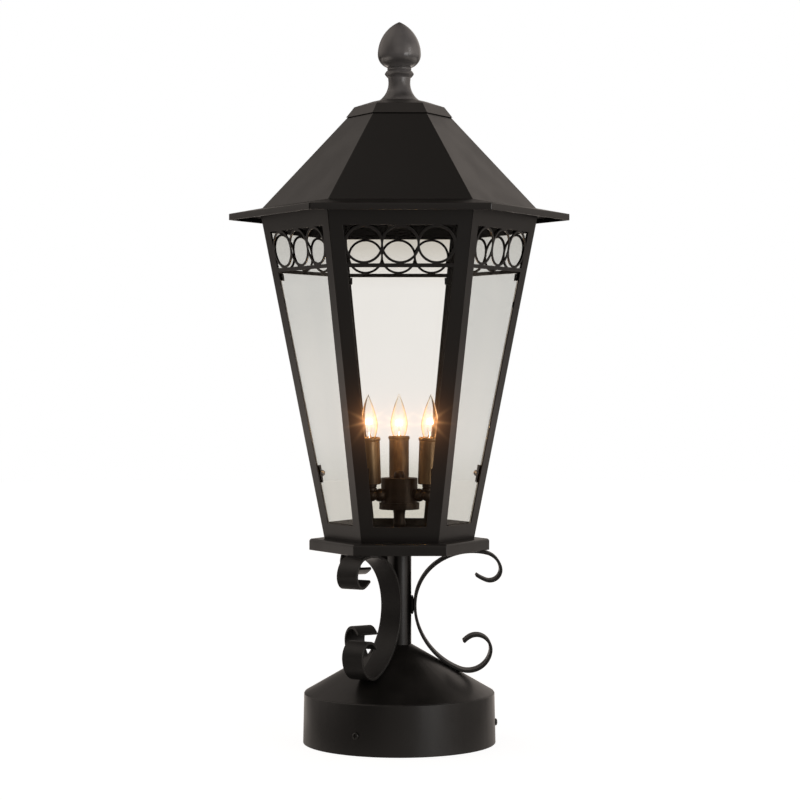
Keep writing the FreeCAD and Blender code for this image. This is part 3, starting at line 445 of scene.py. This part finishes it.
def screw_mesh(seat, height):
    """Pan head with a cross recess, its axis along X, on a short shank."""
    shape = bmesh.new()
    turns = [2 * math.pi * step / screw_steps for step in range(screw_steps)]
    rings = []
    for ring in range(screw_rings + 1):
        radius = screw_head * math.sin(math.pi / 2 * ring / screw_rings)
        dome = math.sqrt(max(0, 1 - (radius / screw_head) ** 2))
        rise = screw_rise * (screw_wall + (1 - screw_wall) * dome)
        rings.append([])
        for turn in turns:
            across, up = radius * math.cos(turn), radius * math.sin(turn)
            inside = min(abs(across), abs(up)) < recess_half and max(abs(across), abs(up)) < recess_arm
            rings[-1].append(shape.verts.new((seat + rise - recess_depth * inside, across, height + up)))
    for depth, radius in ((0, screw_head), (shank_length, screw_head * shank_share)):
        rings.append([])
        for turn in turns:
            across, up = radius * math.cos(turn), radius * math.sin(turn)
            rings[-1].append(shape.verts.new((seat - depth, across, height + up)))
    skin(shape, rings, screw_steps)
    bmesh.ops.remove_doubles(shape, verts=shape.verts, dist=screw_merge)
    bmesh.ops.recalc_face_normals(shape, faces=shape.faces)
    return shape


low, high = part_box("collar_screws")
seat = high.x - screw_rise
height = (low.z + high.z) / 2
screws = bpy.data.meshes.new("collar_screws")
joined = bmesh.new()
for angle in ear_angles:
    one = screw_mesh(seat, height)
    spin = Matrix.Rotation(math.radians(angle), 3, "Z")
    bmesh.ops.rotate(one, verts=one.verts, cent=(0, 0, 0), matrix=spin)
    part = bpy.data.meshes.new("one_screw")
    one.to_mesh(part)
    joined.from_mesh(part)
joined.to_mesh(screws)
screws.shade_smooth()
screws.set_sharp_from_angle(angle=math.radians(crease_angle))
new_piece("pan_head_screws", screws, black_paint, "black_paint", "collar_screws")


# Stem. A length of steel pipe, cut square, welded into the cone and under the floor pan,
# with a threaded bush in its top end. The pipe is painted with the rest.
stem_edge = 0.0003


def coat_solid(node, finish):
    """Gives a finish to a solid that keeps its own form."""
    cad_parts[node].material_slots[0].material = finish


made_piece("stem_tube", "stem_pipe", black_paint, "black_paint", stem_edge)
coat_solid("pipe_bush", zinc_steel)


# Scrolls. Three C-scrolls bent cold from flat mild-steel bar, with softly rolled mill edges,
# each welded to the stem by two upright beads and to the cone by one bead under its curl. The
# coat is duller on them.
scroll_roughness = (0.44, 0.54)
mill_edge = 0.0007
scroll_turns = (0, 120, 240)
scroll_coat = satin_paint("scroll_coat", paint, scroll_roughness)
for number in (1, 2, 3):
    made_piece("c_scroll_%d" % number, "scroll_bar_%d" % number, scroll_coat, "black_paint", mill_edge,
               steps=3)

ripple_pitch = 0.0016
ripple_depth = 0.045
bead_taper = 0.38
bead_rings = 72
bead_steps = 24
bead_waver = 0.12
waver_along = 40
waver_apart = 900
# A scroll's beads, on its own side of the stem: the middle, then half the length, width and rise
beads = (((0.01428, -0.0044, 0.15228), (0, 0, 0.0102), (0, 0.0026, 0), (0.0021, 0, 0)),
         ((0.01428, 0.0044, 0.15228), (0, 0, 0.0102), (0, 0.0026, 0), (0.0021, 0, 0)),
         ((0.06564, 0, 0.07891), (0, 0.008, 0), (0.0025, 0, 0), (0, 0, 0.0017)))


def bead_mesh(middle, along, across, out):
    """Weld bead with pointed ends, laid along one direction in overlapping ripples."""
    shape = bmesh.new()
    rings = []
    for ring in range(bead_rings + 1):
        share = 2 * ring / bead_rings - 1
        ripple = abs(math.sin(math.pi * share * along.length / ripple_pitch))
        full = max(1 - share ** 2, 0) ** bead_taper * (1 - ripple_depth * (1 - ripple))
        waver = noise.noise(Vector((waver_along * share, waver_apart * middle.x, waver_apart * middle.y)))
        centre = middle + along * share + across * bead_waver * waver * full
        count = 1 if ring in (0, bead_rings) else bead_steps
        rings.append([shape.verts.new(centre + (across * math.cos(angle) + out * math.sin(angle)) * full)
                      for angle in (2 * math.pi * step / bead_steps for step in range(count))])
    skin(shape, rings, bead_steps)
    bmesh.ops.recalc_face_normals(shape, faces=shape.faces)
    mesh = bpy.data.meshes.new("bead")
    shape.to_mesh(mesh)
    return mesh


joined = bmesh.new()
for turn in scroll_turns:
    spin = Matrix.Rotation(math.radians(turn), 3, "Z")
    for bead in beads:
        joined.from_mesh(bead_mesh(*(spin @ Vector(part) for part in bead)))
welds = bpy.data.meshes.new("weld_beads")
joined.to_mesh(welds)
welds.shade_smooth()
new_piece("weld_beads", welds, black_paint, "black_paint", "scroll_welds")


# Floor pan. A steel tray folded down on all six sides, its corners welded and dressed round.
# It is drilled for the cluster's nipple and painted satin black.
pan_edge = 0.0007
made_piece("folded_pan", "floor_pan", black_paint, "black_paint", pan_edge, steps=3)


# Candle cluster. A hollow zinc-plated nipple clamps the turned neck, the lid, the drawn hub
# and a cap nut. All of these are brass with a dark bronze finish, slightly rubbed on their
# edges, and so are the three ball arms and grooved cups.
bronze = (0.026, 0.018, 0.012)
bronze_light = (0.0468, 0.0324, 0.0216)
bronze_rubbed = (0.16, 0.095, 0.045)
bronze_roughness = (0.34, 0.48)
bronze_wear = {"Amount": 0.5, "Scale": 200.0}
patina_scale = 90.0
bronze_patches = 150.0
cast_scale = 1400.0
cast_depth = 0.000008
turned_edge = 0.0003
cup_edge = 0.0002

dark_bronze, tree, shader = new_finish("dark_bronze", 0.55)
patina = ramp_between(tree, speckle(tree, patina_scale, 4.0), 0.35, 0.7)
coat = blend_colour(tree, patina, bronze, bronze_light)
paler_rim = use_group(tree, rim_wear_and_highlight_group, bronze_wear)
feed(tree, shader, Base_Color=blend_colour(tree, paler_rim, coat, bronze_rubbed),
     Roughness=uneven(tree, bronze_roughness, bronze_patches, 3.0),
     Normal=bumped(tree, speckle(tree, cast_scale, 1.0), cast_depth))

coat_solid("cluster_nipple", zinc_steel)
for name, node in (("turned_neck", "cluster_neck"), ("hub_lid", "cluster_cover"),
                   ("drawn_hub", "cluster_hub"), ("cap_nut", "cluster_knob")):
    made_piece(name, node, dark_bronze, "dark_bronze", turned_edge)
for number in (1, 2, 3):
    made_piece("ball_arm_%d" % number, "candle_arm_%d" % number, dark_bronze, "dark_bronze", turned_edge)
    made_piece("grooved_cup_%d" % number, "candle_cup_%d" % number, dark_bronze, "dark_bronze", cup_edge)


# Candle sleeves. Drawn brass tubes with a rolled rim, aged brown and lacquered, which slip
# over the sockets. Fine draw lines run up them and the brown is uneven.
brass = (0.260, 0.172, 0.090)
brass_dark = (0.062, 0.042, 0.026)
brass_lit_rim = (0.50, 0.30, 0.13)
brass_roughness = (0.32, 0.46)
brass_lit_rim_amount = {"Amount": 0.8, "Scale": 90.0}
streak_scale = 60.0
streak_stretch = (1, 1, 0.22)
draw_scale = 900.0
draw_stretch = (1, 1, 0.02)
draw_depth = 0.000012
sleeve_edge = 0.0003

antique_brass, tree, shader = new_finish("antique_brass", 0.7)
streaks = ramp_between(tree, speckle(tree, streak_scale, 4.0, 0.55, streak_stretch), 0.36, 0.66)
coat = blend_colour(tree, streaks, brass, brass_dark)
# The sleeves' rims are painted paler: a painted highlight for the bulbs' light falling on them
paler_rim = use_group(tree, rim_wear_and_highlight_group, brass_lit_rim_amount)
feed(tree, shader, Base_Color=blend_colour(tree, paler_rim, coat, brass_lit_rim),
     Roughness=ramp_between(tree, streaks, 0.0, 1.0, *brass_roughness),
     Normal=bumped(tree, speckle(tree, draw_scale, 1.0, 0.5, draw_stretch), draw_depth))
for number in (1, 2, 3):
    made_piece("brass_sleeve_%d" % number, "candle_sleeve_%d" % number, antique_brass, "antique_brass",
               sleeve_edge)


# Lamps. Clear flame-tip bulbs with screw bases, lit, in moulded sockets. Each bulb holds a
# glass press with two lead wires and a coiled filament between them.
moulding = (0.02, 0.018, 0.016)
moulding_light = (0.035, 0.03, 0.027)
moulding_roughness = (0.5, 0.62)
moulding_scale = 300.0
moulding_patches = 90.0
shell_brass = (0.72, 0.56, 0.30)
shell_dull = (0.6, 0.45, 0.22)
shell_roughness = (0.22, 0.34)
shell_scale = 200.0
shell_patches = 500.0

socket_moulding, tree, shader = new_finish("socket_moulding")
feed(tree, shader, Base_Color=blend_colour(tree, speckle(tree, moulding_scale), moulding, moulding_light),
     Roughness=uneven(tree, moulding_roughness, moulding_patches))
bulb_brass, tree, shader = new_finish("bulb_brass", 1.0)
feed(tree, shader, Base_Color=blend_colour(tree, speckle(tree, shell_scale, 3.0), shell_brass, shell_dull),
     Roughness=uneven(tree, shell_roughness, shell_patches))


def clear_glass(name, tint, filmed, slanted, film_scale, smear, bend, darker_tints=()):
    """Glass that lets the studio's light through without dark shadows, with a faint film on it,
    a deeper tint where it is seen at a slant, and darker tints that deepen between two heights."""
    finish, tree, shader = new_finish(name)
    shader.inputs["Transmission Weight"].default_value = 1.0
    shader.inputs["IOR"].default_value = bend
    film = ramp_between(tree, speckle(tree, film_scale, 4.0, 0.55, (1, 1, 0.5)), 0.42, 0.68)
    slant = add_node(tree, "ShaderNodeLayerWeight", {"Blend": 0.5}).outputs["Facing"]
    slant = ramp_between(tree, slant, 0.1, 0.55)
    colour = blend_colour(tree, film, tint, filmed)
    for tint_from, tint_full, darker_tint in darker_tints:
        place = add_node(tree, "ShaderNodeTexCoord").outputs["Object"]
        height = add_node(tree, "ShaderNodeSeparateXYZ", {0: place}).outputs["Z"]
        colour = blend_colour(tree, ramp_between(tree, height, tint_from, tint_full), colour, darker_tint)
    feed(tree, shader, Base_Color=blend_colour(tree, slant, colour, slanted),
         Roughness=ramp_between(tree, film, 0.0, 1.0, *smear))
    path = add_node(tree, "ShaderNodeLightPath").outputs
    mirrored = worked(tree, "SUBTRACT", path["Is Glossy Ray"], path["Is Transmission Ray"])
    passing = worked(tree, "MAXIMUM", path["Is Shadow Ray"], path["Is Diffuse Ray"])
    passing = worked(tree, "MAXIMUM", passing, mirrored)
    through = add_node(tree, "ShaderNodeBsdfTransparent", {"Color": (*tint, 1)})
    both = add_node(tree, "ShaderNodeMixShader", {0: passing, 1: shader.outputs[0], 2: through.outputs[0]})
    tree.links.new(both.outputs[0], tree.nodes["Material Output"].inputs["Surface"])
    return finish


bulb_tint = (0.985, 0.97, 0.95)
bulb_filmed = (0.97, 0.95, 0.92)
bulb_slanted = (1.0, 0.90, 0.74)
bulb_film_scale = 60.0
bulb_smear = (0.08, 0.2)
bulb_bend = 1.12
bulb_glass = clear_glass("bulb_glass", bulb_tint, bulb_filmed, bulb_slanted, bulb_film_scale, bulb_smear,
                         bulb_bend)

# The lit filament's light is scattered in its bulb: a white heart, and a golden rim
heart_from = 0.001
heart_reach = 0.0036
heart_slant = 0.09
heart_colour = (1.0, 0.84, 0.64)
rim_from = 0.006
rim_reach = 0.026
rim_slant = (0.2, 0.8)
rim_colour = (0.085, 0.038, 0.013)
scatter_level = 5.0
tree = bulb_glass.node_tree
shader = tree.nodes["Principled BSDF"]
off_centre = add_node(tree, "ShaderNodeAttribute", attribute_name="from_filament").outputs["Fac"]
slant = add_node(tree, "ShaderNodeLayerWeight", {"Blend": 0.5}).outputs["Facing"]
heart = times(tree, ramp_between(tree, off_centre, heart_from, heart_reach, 1.0, 0.0),
              ramp_between(tree, slant, 0.0, heart_slant, 1.0, 0.0))
golden = times(tree, ramp_between(tree, off_centre, rim_from, rim_reach, 1.0, 0.0),
               ramp_between(tree, slant, *rim_slant))
golden = blend_colour(tree, golden, (0, 0, 0), rim_colour)
feed(tree, shader, Emission_Color=blend_colour(tree, heart, golden, heart_colour))
shader.inputs["Emission Strength"].default_value = scatter_level

arm_low, arm_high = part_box("candle_arm_1")
arm_height = (arm_low.z + arm_high.z) / 2
candle_circle = 0.0355
candle_lean = 2.4
first_candle = 90
# Heights along a candle are from the middle of its ball
bulb_foot = 0.0613
bulb_neck = 0.0056
bulb_belly = 0.0098
bulb_belly_up = 0.018
bulb_shoulder = 0.0086
bulb_taper = 0.0062
bulb_length = 0.050
bulb_tip = 0.0007
bulb_tip_wall = 0.0001
bulb_tip_up = 0.0002
bulb_wall = 0.0006
on_axis = 1e-7
shoulder_steps = 14
flame_steps = 26
bulb_steps = 64
press_steps = 32


def candle_place(number):
    """Place of a candle whose shape is drawn upright from the middle of its ball."""
    turn = Matrix.Rotation(math.radians(first_candle) + 2 * math.pi / 3 * (number - 1), 4, "Z")
    lean = Matrix.Rotation(math.radians(candle_lean), 4, "Y")
    return turn @ Matrix.Translation((candle_circle, 0, arm_height)) @ lean


def arc_points(start, middle, end, count):
    """Points of the circular arc through three (radius, height) points."""
    (ax, ay), (bx, by), (cx, cy) = start, middle, end
    a, b, c = ax ** 2 + ay ** 2, bx ** 2 + by ** 2, cx ** 2 + cy ** 2
    double = 2 * (ax * (by - cy) + bx * (cy - ay) + cx * (ay - by))
    ux = (a * (by - cy) + b * (cy - ay) + c * (ay - by)) / double
    uy = (a * (cx - bx) + b * (ax - cx) + c * (bx - ax)) / double
    radius = math.hypot(ax - ux, ay - uy)
    first, second, third = (math.atan2(y - uy, x - ux) for x, y in (start, middle, end))
    whole = sum((after - before + math.pi) % (2 * math.pi) - math.pi
                for before, after in ((first, second), (second, third)))
    angles = [first + whole * i / count for i in range(count + 1)]
    return [(ux + radius * math.cos(angle), uy + radius * math.sin(angle)) for angle in angles]


def turned_mesh(name, outline, steps):
    """Mesh turned about Z from a closed outline of (radius, height) points."""
    shape = bmesh.new()
    rings = []
    for radius, height in outline:
        count = steps if radius > on_axis else 1
        angles = [2 * math.pi * i / count for i in range(count)]
        rings.append([shape.verts.new((radius * math.cos(a), radius * math.sin(a), height)) for a in angles])
    skin(shape, rings + rings[:1], steps)
    bmesh.ops.recalc_face_normals(shape, faces=shape.faces)
    mesh = bpy.data.meshes.new(name)
    shape.to_mesh(mesh)
    mesh.shade_smooth()
    mesh.set_sharp_from_angle(angle=math.radians(crease_angle))
    return mesh


def bulb_side(inset):
    """Side of the bulb from its neck to its tip, moved inwards."""
    top = bulb_foot + bulb_length
    widest = bulb_foot + bulb_belly_up
    neck = (bulb_neck - inset, bulb_foot)
    shoulder = (bulb_shoulder - inset, bulb_foot + bulb_belly_up / 2)
    belly = (bulb_belly - inset, widest)
    taper = (bulb_taper - inset, (widest + top) / 2)
    tip = (max(bulb_tip - inset, bulb_tip_wall), top - 2 * inset)
    return arc_points(neck, shoulder, belly, shoulder_steps) + arc_points(belly, taper, tip, flame_steps)[1:]


outside = bulb_side(0)
inside = bulb_side(bulb_wall)
bulb_outline = outside + [(0, outside[-1][1] + bulb_tip_up), (0, inside[-1][1])] + inside[::-1]
bulb_mesh = turned_mesh("flame_bulb", bulb_outline, bulb_steps)

# The screw base from its contact up: radius and height, with a round thread between
contact = [(0, 0.0378), (0.003, 0.0378), (0.0035, 0.0385), (0.0058, 0.0398)]
base_rim = [(0.0054, 0.0608), (0.0058, bulb_foot), (0, bulb_foot)]
thread_foot = 0.0400
thread_pitch = 0.0026
thread_turns = 8
thread_root = 0.0054
thread_crest = 0.00594
thread_steps = 5
thread = []
for turn in range(thread_turns):
    low = thread_foot + turn * thread_pitch
    thread += arc_points((thread_root, low), (thread_crest, low + thread_pitch / 2),
                         (thread_root, low + thread_pitch), thread_steps)[:-1]
base_mesh = turned_mesh("screw_base", contact + thread + base_rim, bulb_steps)

# The glass press: radius, and height over the bulb's foot
press = ((0, 0), (0.0034, 0), (0.0030, 0.002), (0.0018, 0.0045), (0.0013, 0.0075), (0.0009, 0.009),
         (0, 0.0092))
press_mesh = turned_mesh("glass_press", [(radius, bulb_foot + up) for radius, up in press], press_steps)

# The three filaments hang at slightly different heights over their bulbs' feet
filament_heights = (0.0175, 0.0203, 0.0203)
filament_half = 0.0025
filament_turns = 13
coil_steps = 16
coil_radius = 0.00042
filament_wire = 0.00011
filament_colour = (1.0, 0.56, 0.22)
filament_power = 700.0
filament_heat = (0.8, 1.0)
filament_scale = 400.0
mirrored_share = 0.004
lead_wire = 0.00022
lead_gap = 0.0008
lead_foot = 0.007
lead_shoulder = 0.0095
lead_colour = (0.62, 0.58, 0.52)
lead_dark = (0.45, 0.4, 0.34)
lead_roughness = (0.25, 0.4)
lead_scale = 700.0
lead_patches = 900.0
glow_power = 0.11
glow_colour = (1.0, 0.60, 0.30)
glow_radius = 0.004
glow_up = 0.002


def wire_mesh(name, points, radius):
    """Round wire along points."""
    curve = bpy.data.curves.new(name, "CURVE")
    curve.dimensions = "3D"
    curve.bevel_depth = radius
    curve.bevel_resolution = 2
    spline = curve.splines.new("POLY")
    spline.points.add(len(points) - 1)
    for point, place in zip(spline.points, points):
        point.co = (*place, 1)
    holder = bpy.data.objects.new(name, curve)
    bpy.context.collection.objects.link(holder)
    mesh = bpy.data.meshes.new_from_object(holder.evaluated_get(bpy.context.evaluated_depsgraph_get()))
    bpy.data.objects.remove(holder)
    mesh.shade_smooth()
    return mesh


lead_metal, tree, shader = new_finish("lead_metal", 1.0)
feed(tree, shader, Base_Color=blend_colour(tree, speckle(tree, lead_scale), lead_colour, lead_dark),
     Roughness=uneven(tree, lead_roughness, lead_patches))
hot_filament, tree, shader = new_finish("hot_filament")
bounced = add_node(tree, "ShaderNodeLightPath").outputs["Glossy Depth"]
direct = ramp_between(tree, bounced, 0.0, 1.0, 1.0, mirrored_share)
heat = times(tree, uneven(tree, filament_heat, filament_scale), direct)
feed(tree, shader, Emission_Color=blend_colour(tree, heat, (0, 0, 0), filament_colour))
shader.inputs["Emission Strength"].default_value = filament_power

for number, filament_up in enumerate(filament_heights, 1):
    place = candle_place(number)
    middle = bulb_foot + filament_up
    lit_mesh = bulb_mesh.copy()
    from_filament = lit_mesh.attributes.new("from_filament", "FLOAT", "POINT")
    from_filament.data.foreach_set("value", [abs(point.co.z - middle) for point in lit_mesh.vertices])
    coil = []
    for step in range(filament_turns * coil_steps + 1):
        share = step / (filament_turns * coil_steps)
        angle = 2 * math.pi * filament_turns * share
        coil.append((filament_half * (2 * share - 1), coil_radius * math.cos(angle),
                     middle + coil_radius * math.sin(angle)))
    coil_mesh = wire_mesh("filament_coil", coil, filament_wire)
    left = [(-filament_half, 0, middle), (-filament_half, 0, bulb_foot + lead_shoulder),
            (-lead_gap, 0, bulb_foot + lead_foot)]
    right = [(-across, along, up) for across, along, up in reversed(left)]
    leads_mesh = wire_mesh("lead_wires", left + right, lead_wire)
    group = (("flame_bulb", lit_mesh, bulb_glass, "bulb_glass", ["bulb_glass_%d" % number]),
             ("screw_base", base_mesh, bulb_brass, "bulb_brass", ["bulb_base_%d" % number]),
             ("glass_press", press_mesh, bulb_glass, "lamp_mount", ["bulb_mount_%d" % number]),
             ("lead_wires", leads_mesh, lead_metal, "lamp_mount", []),
             ("filament", coil_mesh, hot_filament, "lamp_mount", []))
    for name, mesh, finish, slot, nodes in group:
        mine = mesh.copy()
        mine.transform(place)
        new_piece("%s_%d" % (name, number), mine, finish, slot, *nodes)
    coat_solid("lamp_socket_%d" % number, socket_moulding)
    glow_data = bpy.data.lights.new("lamp_glow_%d" % number, "POINT")
    glow_data.energy = glow_power
    glow_data.color = glow_colour
    glow_data.shadow_soft_size = glow_radius
    glow_data.cycles.use_multiple_importance_sampling = False
    glow = bpy.data.objects.new("lamp_glow_%d" % number, glow_data)
    glow.location = place @ Vector((0, 0, middle + glow_up))
    bpy.context.collection.objects.link(glow)

# The lit filaments flare in the camera's lens: short rays, and a warm veil over what is near
ray_tint = (1.0, 0.68, 0.42, 1)
ray_threshold = 6.0
ray_limit = 60.0
ray_strength = 0.42
ray_count = 9
ray_angle = 0.25
ray_fade = 0.83
flare_tint = (1.0, 0.56, 0.32, 1)
flare_threshold = 1.5
flare_limit = 500.0
flare_strength = 1.4
flare_size = 0.75
bpy.context.scene.use_nodes = True
lens = bpy.context.scene.node_tree
lens.nodes.clear()
taken = add_node(lens, "CompositorNodeRLayers").outputs["Image"]
ray_inputs = {"Image": taken, "Threshold": ray_threshold, "Clamp": True, "Maximum": ray_limit,
              "Strength": ray_strength, "Tint": ray_tint, "Streaks": ray_count,
              "Streaks Angle": ray_angle, "Fade": ray_fade}
rays = add_node(lens, "CompositorNodeGlare", ray_inputs, glare_type="STREAKS", quality="HIGH")
flare_inputs = {"Image": rays.outputs["Image"], "Threshold": flare_threshold, "Clamp": True,
                "Maximum": flare_limit, "Strength": flare_strength, "Tint": flare_tint, "Size": flare_size}
flare = add_node(lens, "CompositorNodeGlare", flare_inputs, glare_type="FOG_GLOW", quality="HIGH")
add_node(lens, "CompositorNodeComposite", {"Image": flare.outputs["Image"]})


# Body. Six steel sheets cut to one pattern, each with its window, its rail and a frieze of
# three rings cut through. They are welded at the corners, dressed and powder coated. Between
# the tabs their top edges stand close under the roof.
sheet_edge = 0.00035
sheet_top = 0.5794
sheet_top_band = 0.0007
sheet_taper = 0.17
top_lift = 0.0043
for number in range(1, 7):
    sheet = made_piece("body_sheet_%d" % number, "side_panel_%d" % number, black_paint, "black_paint",
                       sheet_edge)
    middle = sum((point.co for point in sheet.data.vertices), Vector())
    rise = top_lift * (sheet_taper * Vector((middle.x, middle.y, 0)).normalized() + Vector((0, 0, 1)))
    for point in sheet.data.vertices:
        if abs(point.co.z - sheet_top) < sheet_top_band:
            point.co += rise


# Panes. Six flat panes of clear float glass behind the sheets, each held by two tabs above
# and two clips with round nuts below. A faint film dulls them. They are tinted darker towards
# their tops, a painted shade for the roof's shadow there, and darker towards their feet.
pane_tint = (0.918, 0.904, 0.881)
pane_filmed = (0.911, 0.897, 0.873)
pane_slanted = (0.776, 0.773, 0.753)
pane_film_scale = 9.0
pane_smear = (0, 0)
pane_bend = 1.2
# The height where each begins, the height where it is full, and its colour there
# A painted shade, darker towards the tops where the roof shades them
top_shade = (0.50, 0.57, (0.722, 0.696, 0.648))
# Darker towards the feet
foot_darkening = (0.34, 0.28, (0.762, 0.748, 0.699))
nut_colour = (0.17, 0.165, 0.16)
nut_light = (0.25, 0.24, 0.235)
nut_roughness = (0.45, 0.6)
nut_scale = 500.0
nut_patches = 300.0
clip_edge = 0.0002
nut_edge = 0.0003

pane_glass = clear_glass("pane_glass", pane_tint, pane_filmed, pane_slanted, pane_film_scale, pane_smear,
                         pane_bend, (top_shade, foot_darkening))
for number in range(1, 7):
    coat_solid("glass_pane_%d" % number, pane_glass)
made_piece("pane_clips", "glass_clips", black_paint, "black_paint", clip_edge)
dull_zinc, tree, shader = new_finish("dull_zinc", 0.6)
feed(tree, shader, Base_Color=blend_colour(tree, speckle(tree, nut_scale, 3.0), nut_colour, nut_light),
     Roughness=uneven(tree, nut_roughness, nut_patches))
made_piece("thumb_nuts", "clip_nuts", dull_zinc, "zinc_steel", nut_edge)


# Roof fixing. A flat bar across the top of the body, with its ends folded down, anchors a
# threaded rod with a lock nut. The rod passes through the roof and the crown cap. The bar is
# painted darker and duller than the rest: a painted shade for the roof's shadow over it.
bar_shade_colour = (0.0012, 0.0011, 0.0010)
bar_shade_paler = (0.0030, 0.0027, 0.0024)
bar_shade_roughness = (0.8, 0.92)
bar_shade_scale = 400.0
bar_shade_patches = 200.0
bar_shade_sheen = 0.02
bar_edge = 0.0004
rod_edge = 0.0003

shaded_bar_paint, tree, shader = new_finish("shaded_bar_paint")
feed(tree, shader, Base_Color=blend_colour(tree, speckle(tree, bar_shade_scale), bar_shade_colour, bar_shade_paler),
     Roughness=uneven(tree, bar_shade_roughness, bar_shade_patches))
shader.inputs["Specular IOR Level"].default_value = bar_shade_sheen
made_piece("anchor_bar", "roof_crossbar", shaded_bar_paint, "black_paint", bar_edge)
made_piece("tie_rod", "roof_rod", zinc_steel, "zinc_steel", rod_edge)
made_piece("lock_nut", "rod_nut", zinc_steel, "zinc_steel", bar_edge)


# Roof and crown cap. The roof is folded from six steel slopes with a shallow eave and a
# turned-down lip, its hips welded and dressed. The pressed cap covers its flat top. Its paint is
# made lighter than the roof's: painted light, for the brighter light that falls on the cap.
cap_lit_paint = (0.0220, 0.0205, 0.0194)
roof_edge = 0.0005
cap_edge = 0.0006

cap_lit_coat = satin_paint("cap_lit_coat", cap_lit_paint, paint_roughness)
made_piece("hipped_roof", "roof_shell", black_paint, "black_paint", roof_edge)
made_piece("pressed_cap", "crown_cap", cap_lit_coat, "black_paint", cap_edge)


# Finial. A turned acorn with a bead under it and a flared foot, threaded on the tie rod. It
# is cast and turned in aluminium and has its own dark grey enamel, smoother than the paint.
enamel = (0.138, 0.134, 0.136)
enamel_worn = (0.2, 0.19, 0.18)
enamel_roughness = (0.20, 0.26)
enamel_tones = (0.9, 1.1)
enamel_scale = 70.0
enamel_patches = 40.0
enamel_wear = {"Amount": 0.6, "Scale": 160.0}
enamel_grain = {"Scale": 900.0}
enamel_depth = 0.000006
finial_edge = 0.0003
# Painted shade in the finial's grooves and hollows: height, half width and share
painted_shade_spots = ((0.7535, 0.0085, 0.65), (0.7392, 0.0034, 0.60), (0.7460, 0.0022, 0.25), (0.7165, 0.0060, 0.60),
           (0.7290, 0.0100, 0.30))
painted_shade_colour = (0.030, 0.028, 0.027)

grey_enamel, tree, shader = new_finish("grey_enamel")
coat = toned(tree, enamel, uneven(tree, enamel_tones, enamel_scale, 3.0))
coat = blend_colour(tree, use_group(tree, rim_wear_and_highlight_group, enamel_wear), coat, enamel_worn)
place = add_node(tree, "ShaderNodeTexCoord").outputs["Object"]
along = worked_vectors(tree, "MULTIPLY", "Vector", place, (0, 0, 1))
for height, reach, share in painted_shade_spots:
    away = worked_vectors(tree, "DISTANCE", "Value", along, (0, 0, height))
    coat = blend_colour(tree, ramp_between(tree, away, 0.0, reach, share, 0.0), coat, painted_shade_colour)
feed(tree, shader, Base_Color=coat, Roughness=uneven(tree, enamel_roughness, enamel_patches, 3.0),
     Normal=bumped(tree, use_group(tree, grain_group, enamel_grain), enamel_depth))
made_piece("acorn_finial", "finial", grey_enamel, "grey_enamel", finial_edge)
